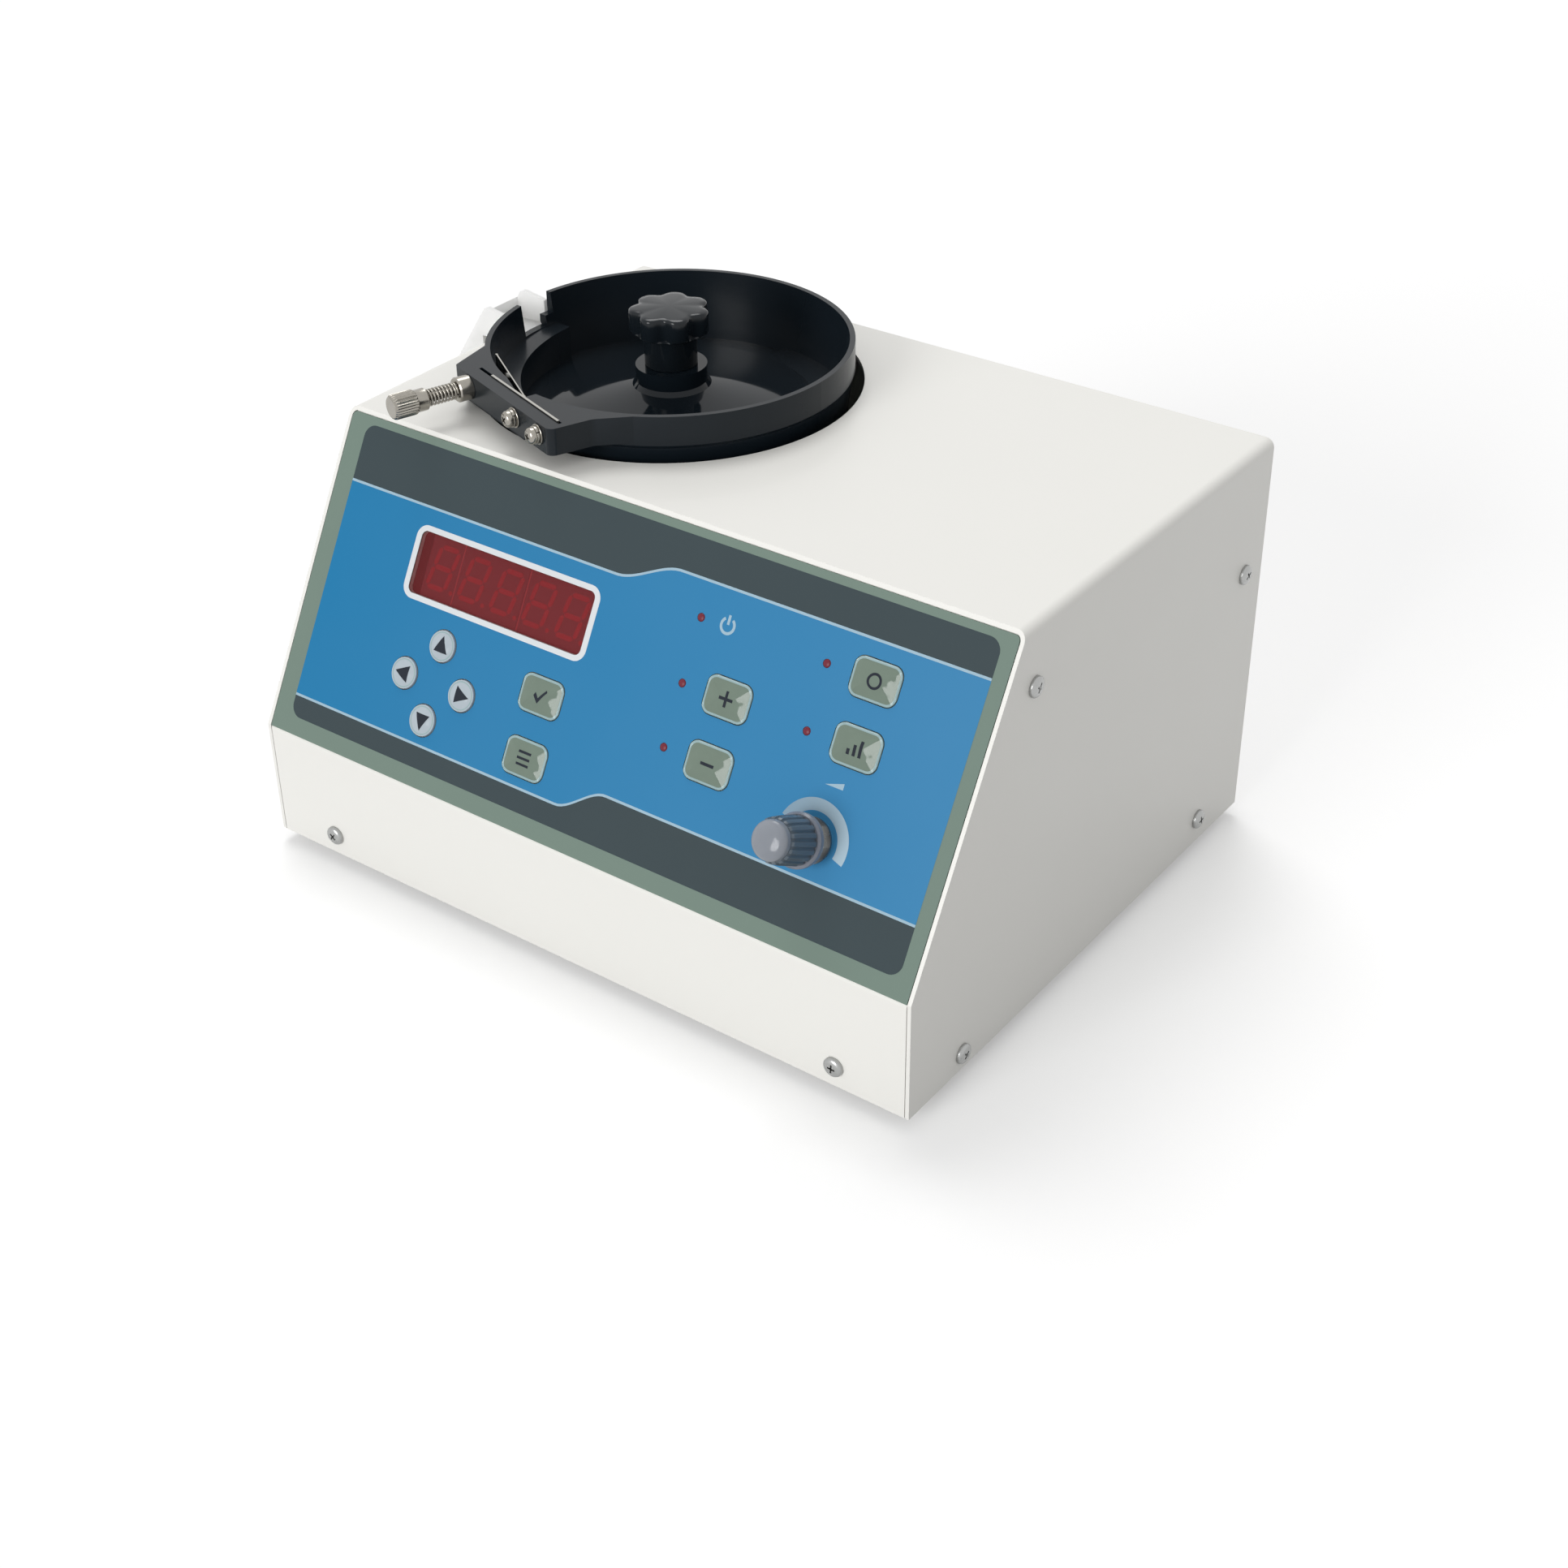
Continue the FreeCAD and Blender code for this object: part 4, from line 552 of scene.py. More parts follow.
def surface(curve: bpy.types.Curve) -> Shape:
    """The surface of a curve, which this uses up."""
    holder = bpy.data.objects.new("curve", curve)
    mesh = bpy.data.meshes.new_from_object(holder)
    shape = bmesh.new()
    shape.from_mesh(mesh)
    bpy.data.objects.remove(holder)
    bpy.data.curves.remove(curve)
    bpy.data.meshes.remove(mesh)
    return shape


def sheet(outlines: Sequence[Outline], low: float, high: float, edge: float = 0.0) -> Shape:
    """Flat piece between two heights; outlines inside others are holes.

    Args:
        outlines: closed outlines.
        low: height of its underside.
        high: height of its top.
        edge: radius of its rounded edges.

    Returns:
        The flat piece.
    """
    curve = bpy.data.curves.new("outline", "CURVE")
    curve.dimensions = "2D"
    curve.fill_mode = "BOTH"
    curve.extrude = max(0.0, (high - low) / 2 - edge)
    curve.bevel_depth = edge
    curve.bevel_resolution = 2
    curve.offset = -edge
    for points in outlines:
        spline = curve.splines.new("POLY")
        spline.points.add(len(points) - 1)
        for spot, (x, y) in zip(spline.points, points):
            spot.co = (x, y, 0.0, 1.0)
        spline.use_cyclic_u = True
    shape = surface(curve)
    bmesh.ops.translate(shape, vec=(0.0, 0.0, (low + high) / 2), verts=shape.verts)
    bmesh.ops.remove_doubles(shape, verts=shape.verts, dist=1e-5)
    return shape


def draped(outlines: Sequence[Outline], height: Callable[[float, float], float],
           fineness: float = 0.5) -> Shape:
    """Flat outlines laid over a crowned surface.

    Args:
        outlines: closed outlines.
        height: the surface's height at (x, y).
        fineness: longest edge that stays uncut.

    Returns:
        The laid sheet.
    """
    shape = sheet(outlines, 0.0, 0.0)
    for _ in range(5):
        long_edges = [e for e in shape.edges if e.calc_length() > fineness]
        if not long_edges:
            break
        bmesh.ops.subdivide_edges(shape, edges=long_edges, cuts=1)
        bmesh.ops.triangulate(shape, faces=shape.faces)
    for vert in shape.verts:
        vert.co.z = height(vert.co.x, vert.co.y)
    return shape


def tube(path: Sequence[Vector], radius: float, sides: int = 4) -> Shape:
    """Round wire along a path; sides is a quarter of the steps round it."""
    curve = bpy.data.curves.new("wire", "CURVE")
    curve.dimensions = "3D"
    curve.bevel_depth = radius
    curve.bevel_resolution = sides
    curve.use_fill_caps = True
    spline = curve.splines.new("POLY")
    spline.points.add(len(path) - 1)
    for spot, point in zip(spline.points, path):
        spot.co = (*point, 1.0)
    return surface(curve)


def mesh_of(shape: Shape, name: str) -> bpy.types.Mesh:
    """The shape as a mesh; this uses the shape up."""
    mesh = bpy.data.meshes.new(name)
    shape.to_mesh(mesh)
    shape.free()
    return mesh


def linked(name: str, data: bpy.types.ID) -> bpy.types.Object:
    """A new object that stands in the scene."""
    made = bpy.data.objects.new(name, data)
    bpy.context.scene.collection.objects.link(made)
    return made


def merged(shapes: Iterable[Shape]) -> Shape:
    """Several shapes as one; this uses them up."""
    whole = bmesh.new()
    for shape in shapes:
        mesh = mesh_of(shape, "part")
        whole.from_mesh(mesh)
        bpy.data.meshes.remove(mesh)
    return whole


def placed(shape: Shape, place: Matrix) -> Shape:
    """A copy of the shape at a place."""
    copy = shape.copy()
    bmesh.ops.transform(copy, matrix=place, verts=copy.verts)
    return copy


def repeated(shape: Shape, places: Iterable[Matrix]) -> Shape:
    """The shape at every place, as one; this uses the shape up."""
    whole = merged(placed(shape, place) for place in places)
    shape.free()
    return whole


def carved(shape: Shape, tool: Shape) -> Shape:
    """The shape with the tool's room cut out of it; this uses both up."""
    holders = [linked("carving", mesh_of(part, "carving")) for part in (shape, tool)]
    cut = holders[0].modifiers.new("cut", "BOOLEAN")
    cut.operation = "DIFFERENCE"
    cut.solver = "EXACT"
    cut.object = holders[1]
    graph = bpy.context.evaluated_depsgraph_get()
    mesh = bpy.data.meshes.new_from_object(holders[0].evaluated_get(graph))
    result = bmesh.new()
    result.from_mesh(mesh)
    for holder in holders:
        bpy.data.objects.remove(holder)
    return result


def turn(axis: str, degrees: float) -> Matrix:
    """Turn about one axis."""
    return Matrix.Rotation(math.radians(degrees), 4, axis)


def shift(x: float = 0.0, y: float = 0.0, z: float = 0.0) -> Matrix:
    """Move without a turn."""
    return Matrix.Translation((x, y, z))


def ease(value: float, start: float, end: float) -> float:
    """Smooth step from 0 at start to 1 at end."""
    part = min(1.0, max(0.0, (value - start) / (end - start)))
    return part * part * (3 - 2 * part)


@dataclass(frozen=True)
class Fitting:
    """Where a piece belongs: the body that it rides on, and a slot name for its finish."""

    body: str
    slot: str

    def add(self, name: str, shape: Shape, place: Matrix, *finishes: Finish,
            stands_for: Sequence[str] = (), sharp: float = 32.0) -> bpy.types.Object:
        """Makes an object of a shape.

        Args:
            name: the piece's name.
            shape: its shape in millimetres, which this uses up.
            place: where the shape goes.
            finishes: its materials, in the order of the faces' material numbers.
            stands_for: CAD nodes that it replaces.
            sharp: edges bent by more degrees than this stay sharp.

        Returns:
            The new object.
        """
        mesh = mesh_of(shape, name)
        mesh.transform(Matrix.Scale(MM, 4) @ place)
        mesh.shade_smooth()
        mesh.set_sharp_from_angle(angle=math.radians(sharp))
        for finish in finishes:
            mesh.materials.append(finish.material())
        made = linked(name, mesh)
        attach(made, self.body)
        if stands_for:
            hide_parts(*stands_for)
        return made


def dress(finish: Finish, *nodes: str) -> None:
    """Gives CAD nodes a finish."""
    for name in nodes:
        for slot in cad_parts[name].material_slots:
            slot.material = finish.material()


# Where things are
@dataclass(frozen=True)
class Housing:
    """The case's outside and the places that other pieces are measured from."""

    lip: float = 39.0
    slope_back: float = 50.5
    gate_turn: float = -19.2
    gate_out: float = 63.1

    def corner(self, node: str, top: bool = False) -> Vector:
        """Lowest or highest corner of a CAD node, in millimetres."""
        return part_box(node)[1 if top else 0] / MM

    def low(self) -> Vector:
        """Left, front, bottom corner of the cover."""
        return self.corner("top_cover")

    def high(self) -> Vector:
        """Right, back, top corner of the cover."""
        return self.corner("top_cover", True)

    def middle(self, node: str) -> Vector:
        """Middle of a CAD node's box, in millimetres."""
        return (self.corner(node) + self.corner(node, True)) / 2

    def axis(self) -> Vector:
        """The bowl's axis, at the height of its rim."""
        middle = self.middle("knob_insert")
        return Vector((middle.x, middle.y, self.corner("bowl", True).z))

    def panel(self, x: float = 0.0, up: float = 0.0, out: float = 0.0) -> Matrix:
        """Place on the slope: x from the left, up the slope, and out of it."""
        foot = self.low() + Vector((0.0, 0.0, self.lip))
        rise = self.high().z - foot.z
        slope = math.degrees(math.atan2(rise, self.slope_back))
        return Matrix.Translation(foot) @ turn("X", slope) @ shift(x, up, out)

    def gate(self, along: float, drop: float, out: float = 0.0) -> Matrix:
        """Place on the gate's face, with Z pointing out of it."""
        face = Matrix.Translation(self.axis()) @ turn("Z", self.gate_turn) @ shift(0.0, -self.gate_out)
        return face @ shift(along, 0.0, -drop) @ turn("X", 90) @ shift(0.0, 0.0, out)


HOUSING = Housing()


# Case
@dataclass
class CaseShell:
    """Folded sheets, feet and the cross-head screws that hold them."""

    head_r: float = 3.1
    head_h: float = 1.7
    shank_r: float = 1.5
    shank_l: float = 7.0
    cross_l: float = 3.4
    cross_w: float = 0.75
    side_screws: tuple = ((55.4, 109.4), (26.2, 5.7))
    rear_screws: tuple = ((11.5, 88.2), (27.0, 8.6))
    front_inset: float = 24.6
    front_up: float = 6.9
    bracket_sheet: float = 1.5
    bracket_half: float = 16.8

    def build(self) -> None:
        """Dresses the sheets and builds the screws."""
        dress(POWDER_COAT, "base_tray", "front_panel", "top_cover")
        dress(RUBBER, "feet")
        screws = repeated(self.screw(), self.screw_places())
        Fitting("case", "steel").add("case_screw_heads", screws, Matrix(), STEEL,
                                     stands_for=["case_screws"])

    def screw(self) -> Shape:
        """One screw with a rounded head, a cross recess and a bevelled shank."""
        reach, tall = self.head_r, self.head_h
        profile = [(0.0, -self.shank_l), (self.shank_r - 0.4, -self.shank_l),
                   (self.shank_r, -self.shank_l + 0.6), (self.shank_r, 0.0),
                   (reach - 0.15, 0.0), (reach, 0.15), (reach, tall * 0.35)]
        profile += domed(reach, tall * 0.35, tall, 6, 0.55)
        return carved(turned(profile, 40), self.cross(tall))

    def cross(self, top: float) -> Shape:
        """Tapered cross that a driver fits."""
        half, wide = self.cross_l / 2, self.cross_w / 2
        arms = []
        for quarter in range(4):
            spin = turn("Z", 90 * quarter)
            for x, y in ((half, -wide), (half, wide), (wide, wide)):
                spot = spin @ Vector((x, y, 0.0))
                arms.append((spot.x, spot.y))
        shape = bmesh.new()
        upper = [shape.verts.new((x, y, top + 1.0)) for x, y in arms]
        lower = [shape.verts.new((x * 0.45, y * 0.7, top - 1.1)) for x, y in arms]
        shape.faces.new(upper)
        shape.faces.new(lower)
        for i in range(len(arms)):
            after = (i + 1) % len(arms)
            shape.faces.new((lower[i], lower[after], upper[after], upper[i]))
        bmesh.ops.recalc_face_normals(shape, faces=shape.faces)
        return shape

    def screw_places(self) -> list[Matrix]:
        """Every screw's place, its head pointing out, each turned its own way."""
        low, high = HOUSING.low(), HOUSING.high()
        spots = [(low.y + front, low.z + up) for front, up in self.side_screws]
        spots += [(high.y - back, low.z + up) for back, up in self.rear_screws]
        places = []
        for y, z in spots:
            places.append(shift(low.x, y, z) @ turn("Y", -90))
            places.append(shift(high.x, y, z) @ turn("Y", 90))
        for x in (low.x + self.front_inset, high.x - self.front_inset):
            places.append(shift(x, low.y, low.z + self.front_up) @ turn("X", 90))
        up = HOUSING.middle("chute_bracket").z
        for side in (-1, 1):
            y = HOUSING.axis().y + side * self.bracket_half
            places.append(shift(low.x - self.bracket_sheet, y, up) @ turn("Y", -90))
        return [place @ turn("Z", 24 + 37 * i) for i, place in enumerate(places)]


# Panel
class Mark(Enum):
    """Plain symbols that stand on the keys and beside the lamps."""

    TICK = "tick"
    LIST = "list"
    MINUS = "minus"
    PLUS = "plus"
    RING = "ring"
    STEPS = "steps"
    POWER = "power"
    WEDGE = "wedge"

    def outlines(self, size: float) -> list[Outline]:
        """The symbol's strokes about the middle, this tall."""
        half = size / 2
        line = size * 0.16
        if self is Mark.TICK:
            return [[(-half, -0.05 * size), (-half * 0.75, half * 0.35), (-half * 0.2, -half * 0.3),
                     (half * 0.8, half), (half, half * 0.75), (-half * 0.2, -half)]]
        if self is Mark.LIST:
            return [bar((-half, y * half * 0.8), (half, y * half * 0.8), line) for y in (-1, 0, 1)]
        if self is Mark.MINUS:
            return [bar((-half, 0.0), (half, 0.0), line * 1.2)]
        if self is Mark.PLUS:
            wide = line * 0.6
            return [[(-half, -wide), (-wide, -wide), (-wide, -half), (wide, -half),
                     (wide, -wide), (half, -wide), (half, wide), (wide, wide),
                     (wide, half), (-wide, half), (-wide, wide), (-half, wide)]]
        if self is Mark.RING:
            return [disc(half, 0.0, 0.0), disc(half - line, 0.0, 0.0)]
        if self is Mark.STEPS:
            return [bar((x * half * 0.8, -half), (x * half * 0.8, half * top), line * 1.3)
                    for x, top in ((-1, -0.3), (0, 0.35), (1, 1.0))]
        if self is Mark.POWER:
            return [arc(half - line / 2, line, 125, 415), bar((0.0, half * 0.1), (0.0, half * 1.15), line)]
        return [[(-half * 1.6, -half * 0.5), (half * 1.6, -half * 0.5), (half * 1.6, half * 0.5)]]


@dataclass
class MembranePanel:
    """Printed face of the slope with its display window and lamps."""

    plate: tuple = (8.0, 234.2, 5.6, 98.3)      # left, right, bottom, top of the dark print
    plate_r: float = 4.0
    top_line: tuple = (80.7, 112.0, 87.7, 133.0)    # height up to an x, then height from an x on
    bottom_line: tuple = (12.4, 113.0, 20.3, 129.0)
    line_w: float = 0.75
    window: tuple = (73.5, 64.2, 66.9, 18.8)    # middle, then width and height
    window_r: float = 2.0
    window_play: float = 0.2
    frame_size: tuple = (71.0, 22.4, 3.9)       # width, height, corner radius
    knob: Point = (197.0, 31.0)
    power_at: Point = (152.5, 77.6)
    power_h: float = 5.2
    wedge_at: Point = (199.0, 47.6)
    wedge_h: float = 3.6
    arc_r: float = 9.9
    arc_w: float = 3.5
    arc_span: tuple = (160.0, -18.0)
    lamps: tuple = ((143.4, 77.3), (143.4, 58.3), (143.4, 39.6), (186.0, 77.2), (186.0, 58.2))
    lamp_r: float = 1.2
    lamp_play: float = 0.05
    lens_root: float = -9.9
    lens_edge: float = -0.05
    lens_top: float = 0.35
    ink: float = 0.02
    digit_first: float = 49.4
    digit_pitch: float = 12.6
    digit_up: float = 64.4
    digit_h: float = 12.4
    digit_w: float = 7.0
    digit_lean: float = 10.0
    bar_w: float = 1.5
    bar_gap: float = 0.25
    bar_t: float = 0.05
    point_r: float = 0.7
    point_gap: float = 1.6
    # where the painted highlight strips on the modules' seams stand, and their width and height
    seam_highlights: tuple = (55.7, 81.4)
    seam_w: float = 0.4
    seam_h: float = 18.6
    module_face: float = -2.0

    def build(self, holes: list[Outline]) -> None:
        """Dresses the membrane and lays its printed fields.

        Args:
            holes: the keys' openings, which the print goes round.
        """
        dress(OLIVE_INK, "panel_overlay")
        dress(RED_ACRYLIC, "display_window")
        dress(DIGIT_FACE, "single_digit_module", "double_digit_modules")
        x, v, width, height = self.window
        hole = rounded(width + self.window_play, height + self.window_play, self.window_r, x, v)
        openings = holes + [disc(self.lamp_r + self.lamp_play, *spot) for spot in self.lamps] + [hole]
        left, right, low, high = self.plate
        dark = rounded(right - left, high - low, self.plate_r, (left + right) / 2, (low + high) / 2)
        rim = rounded(*self.frame_size, x, v)
        sweep = arc(self.arc_r, self.arc_w, *self.arc_span, *self.knob)
        self.print_on("dark_print", [dark] + openings, SLATE_INK, 0)
        self.print_on("blue_print", [self.field()] + openings, BLUE_INK, 1)
        self.print_on("pale_lines", [self.stroke(self.top_line), self.stroke(self.bottom_line)], PALE_INK)
        self.print_on("display_frame", [rim, hole], FRAME_INK, layers=2)
        self.print_on("speed_arc", [sweep], ARC_INK)
        self.print_on("power_symbol", Mark.POWER.outlines(self.power_h), PALE_INK, at=self.power_at)
        self.print_on("speed_symbol", Mark.WEDGE.outlines(self.wedge_h), PALE_INK, at=self.wedge_at)
        self.digits()
        self.lamp_lenses()

    def print_on(self, name: str, outlines: list[Outline], ink: Ink, level: int = 2, layers: int = 1,
                 at: Point = (0.0, 0.0)) -> None:
        """Prints a field on the membrane.

        Args:
            name: the piece's name.
            outlines: its outlines; those inside others stay bare.
            ink: its finish.
            level: how many layers of ink lie under it.
            layers: how many layers thick it is.
            at: where on the slope its outlines are measured from.
        """
        shape = sheet(outlines, level * self.ink, (level + layers) * self.ink)
        Fitting("case", "overlay").add(name, shape, HOUSING.panel(*at), ink)

    def edge(self, line: tuple, steps: int, rise: float = 0.0) -> Outline:
        """Points from left to right along one of the two wavy lines, or this far above it."""
        left, right = self.plate[:2]
        low, start, high, end = line
        across = [left + (right - left) * i / steps for i in range(steps + 1)]
        return [(x, low + (high - low) * ease(x, start, end) + rise) for x in across]

    def field(self) -> Outline:
        """Outline of the blue field between the wavy lines."""
        return self.edge(self.bottom_line, 120) + self.edge(self.top_line, 120)[::-1]

    def stroke(self, line: tuple) -> Outline:
        """Outline of one wavy line."""
        half = self.line_w / 2
        return self.edge(line, 160, -half) + self.edge(line, 160, half)[::-1]

    def digits(self) -> None:
        """Unlit bars of five digits on the modules' faces, and lighter strips on the modules' seams, a
        painted highlight for the light that the seams catch.
        """
        bars = []
        for place in range(5):
            bars += self.digit(self.digit_first + place * self.digit_pitch)
        middle, half = self.window[1], self.seam_h / 2
        # painted highlight: lighter strips along the modules' seams stand for the light that they catch
        seam_highlights = [bar((x, middle - half), (x, middle + half), self.seam_w) for x in self.seam_highlights]
        for name, outlines, finish in (("digit_bars", bars, DIGIT_BAR), ("module_seam_highlights", seam_highlights, DIGIT_SEAM_HIGHLIGHT)):
            shape = sheet(outlines, self.module_face, self.module_face + self.bar_t)
            Fitting("case", "digit_block").add(name, shape, HOUSING.panel(), finish)

    def digit(self, x: float) -> list[Outline]:
        """The seven leaning bars and the point of one digit whose middle is at x."""
        half_w, half_h = self.digit_w / 2, self.digit_h / 2
        thick, gap = self.bar_w, self.bar_gap
        lean = math.tan(math.radians(self.digit_lean))
        strokes = [((gap - half_w, up), (half_w - gap, up)) for up in (-half_h, 0.0, half_h)]
        strokes += [((across, low + gap), (across, low + half_h - gap))
                    for across in (-half_w, half_w) for low in (-half_h, 0.0)]
        outlines = []
        for (x0, y0), (x1, y1) in strokes:
            run = Vector((x1 - x0, y1 - y0)).normalized()
            side = Vector((-run.y, run.x)) * thick / 2
            start, end = Vector((x0, y0)), Vector((x1, y1))
            inset = run * thick / 2
            tips = [start, start + inset + side, end - inset + side, end, end - inset - side,
                    start + inset - side]
            outlines.append([(x + p.x + p.y * lean, self.digit_up + p.y) for p in tips])
        outlines.append(disc(self.point_r, x + half_w + self.point_gap, self.digit_up - half_h, 16))
        return outlines

    def lamp_lenses(self) -> None:
        """Domed red lenses of the indicator lamps."""
        section = [(0.0, self.lens_root), (self.lamp_r, self.lens_root), (self.lamp_r, self.lens_edge)]
        section += domed(self.lamp_r, self.lens_edge, self.lens_top, 5)
        lenses = repeated(turned(section, 24), (HOUSING.panel(*spot) for spot in self.lamps))
        Fitting("case", "red_led").add("lamp_lenses", lenses, Matrix(), LAMP_RED,
                                       stands_for=["indicator_leds"])


@dataclass
class KeySet:
    """Domed arrow keys and pillowed plain keys."""

    arrow_r: float = 4.8
    width: float = 15.2
    height: float = 11.2
    corner: float = 3.0
    rise: float = 0.95              # an arrow key's film above the panel
    fall: float = 0.42              # and how much lower its edge is
    ripple: float = 0.05
    ring: tuple = (4.35, 4.0)
    triangle: tuple = ((3.2, 0.0), (-1.9, 2.6), (-1.9, -2.6))
    edge_h: float = 0.1             # a plain key's edge, rim, trough and pillow
    rim_h: float = 0.38
    trough_h: float = 0.28
    pillow_h: float = 0.65
    rim: float = 0.7
    rim_crest: tuple = (0.3, 0.45)
    fold: float = 0.07
    waves: tuple = ((1.0, 0.75, 0.95, 2.4), (0.6, 0.5, -1.3, 1.7))
    sign_h: float = 4.6
    mark_lift: float = 0.02
    sign_lift: float = 0.035
    play: float = 0.3
    neck: float = -2.0
    flange: float = 1.2
    stem_w: float = 3.0
    stem_end: float = -4.0

    def arrows(self) -> dict[str, tuple[Point, float]]:
        """Each arrow key's middle and the way that its triangle points, in degrees."""
        return {"key_up": ((58.7, 43.0), 90), "key_down": ((58.7, 20.0), 270),
                "key_left": ((47.4, 31.3), 180), "key_right": ((70.3, 31.3), 0)}

    def plain(self) -> dict[str, tuple[Point, Mark]]:
        """Each plain key's middle and its symbol."""
        return {"key_set": ((98.2, 40.0), Mark.TICK), "key_read": ((98.6, 21.2), Mark.LIST),
                "key_adjust_1": ((159.1, 58.5), Mark.PLUS), "key_adjust_2": ((159.2, 39.6), Mark.MINUS),
                "key_zero": ((201.9, 77.1), Mark.RING), "key_count": ((202.1, 58.7), Mark.STEPS)}

    def holes(self) -> list[Outline]:
        """The openings that the keys stand in."""
        found = [disc(self.arrow_r + self.play, x, v) for (x, v), _ in self.arrows().values()]
        for (x, v), _ in self.plain().values():
            found.append(rounded(self.width + 2 * self.play, self.height + 2 * self.play,
                                 self.corner + self.play, x, v))
        return found

    def build(self) -> None:
        """Builds every key on its own body."""
        for name, (spot, heading) in self.arrows().items():
            self.arrow_key(name, spot, heading)
        for number, (name, (spot, mark)) in enumerate(self.plain().items()):
            self.plain_key(name, number, spot, mark)

    def foot(self, flange: Shape) -> Shape:
        """The flange and stem that hold a key behind the panel."""
        half = self.stem_w / 2
        stem = block(-half, half, -half, half, self.stem_end, self.neck - self.flange, 0.2)
        return merged([flange, stem])

    def dome(self, x: float, y: float) -> float:
        """Height of an arrow key's film at a distance from its middle."""
        away = math.hypot(x, y) / self.arrow_r
        return self.rise - self.fall * away ** 2.2 - self.ripple * math.cos(away * 9.0)

    def arrow_key(self, name: str, spot: Point, heading: float) -> None:
        """A pale round key with a dark triangle and a thin ring on its film."""
        reach, low = self.arrow_r, self.neck - self.flange
        profile = [(0.0, self.neck), (reach, self.neck), (reach, 0.15)]
        for step in range(13):
            away = reach * 0.985 * (1 - step / 12)
            profile.append((away, self.dome(away, 0.0)))
        flange = turned([(0.0, low), (reach + 1, low), (reach + 1, self.neck), (0.0, self.neck)], 48)
        whole = merged([turned(profile, 48), self.foot(flange)])
        fit = Fitting(name + "_body", "white_key")
        place = HOUSING.panel(*spot)
        fit.add(name + "_film", whole, place, ARROW_FILM, stands_for=[name])

        def lifted(x: float, y: float) -> float:
            """Height of print on the film."""
            return self.dome(x, y) + self.mark_lift

        fit.add(name + "_mark", draped([self.triangle], lifted), place @ turn("Z", heading), MARK_INK)
        fit.add(name + "_ring", draped([disc(r) for r in self.ring], lifted, 0.8), place, KEY_RIM)

    def crown_height(self, inset: float) -> float:
        """Height of a plain key's film this far inside its outline."""
        crest_start, crest_end = self.rim_crest
        if inset < crest_start:
            return self.edge_h + (self.rim_h - self.edge_h) * ease(inset, -0.1, crest_start)
        if inset < self.rim:
            return self.rim_h - (self.rim_h - self.trough_h) * ease(inset, crest_end, self.rim)
        part = min(1.0, (inset - self.rim) / (self.height / 2 - self.rim))
        return self.trough_h + self.pillow_h * (1 - (1 - part) ** 1.7)

    def film_height(self, x: float, y: float, number: int) -> float:
        """Height of one plain key's film, with the folds that pressing has left in it."""
        inset = min(self.width / 2 - abs(x), self.height / 2 - abs(y))
        fold = sum(height * math.sin(along * x + up * y + key * number)
                   for height, along, up, key in self.waves)
        return self.crown_height(inset) + self.fold * fold * ease(inset, self.rim, 2.6)

    def film_ring(self, inset: float, number: int) -> list[Vector]:
        """Points round a plain key's film this far inside its outline."""
        corner_steps, side_steps = 8, 12
        outline = rounded(self.width - 2 * inset, self.height - 2 * inset, max(0.12, self.corner - inset),
                          steps=corner_steps)
        points = []
        for i, (x0, y0) in enumerate(outline):
            x1, y1 = outline[(i + 1) % len(outline)]
            on_side = i % (corner_steps + 1) == corner_steps
            for k in range(side_steps if on_side else 1):
                x = x0 + (x1 - x0) * k / side_steps
                y = y0 + (y1 - y0) * k / side_steps
                points.append(Vector((x, y, self.film_height(x, y, number))))
        return points

    def plain_key(self, name: str, number: int, spot: Point, mark: Mark) -> None:
        """A green key with a rim, a pillowed and creased film and a dark symbol on it."""
        insets = [0.0, 0.08, 0.2, 0.32, 0.5, 0.7, 0.8, 1.1, 1.5, 2.0, 2.5, 3.0, 3.6, 4.2, 4.8, 5.2]
        shape = bmesh.new()
        rows = [self.film_ring(inset, number) for inset in insets]
        foot = [Vector((point.x, point.y, self.neck)) for point in rows[0]]
        loops = [[shape.verts.new(point) for point in row] for row in [foot] + rows]
        for level, (outer, inner) in enumerate(zip(loops, loops[1:])):
            for i in range(len(outer)):
                after = (i + 1) % len(outer)
                face = shape.faces.new((outer[i], outer[after], inner[after], inner[i]))
                face.material_index = 1 if level > insets.index(self.rim) else 0
        middle = shape.faces.new(loops[-1])
        middle.material_index = 1
        bmesh.ops.triangulate(shape, faces=[middle], ngon_method="BEAUTY")
        shape.faces.new(reversed(loops[0]))
        flange = sheet([rounded(self.width + 2, self.height + 2, self.corner + 1)],
                       self.neck - self.flange, self.neck)
        whole = merged([shape, self.foot(flange)])
        fit = Fitting(name + "_body", "green_key")
        place = HOUSING.panel(*spot)
        fit.add(name + "_film", whole, place, KEY_RIM, KEY_FILM, stands_for=[name], sharp=9.0)
        sign = draped(mark.outlines(self.sign_h),
                      lambda x, y: self.film_height(x, y, number) + self.sign_lift)
        fit.add(name + "_mark", sign, place, MARK_INK)


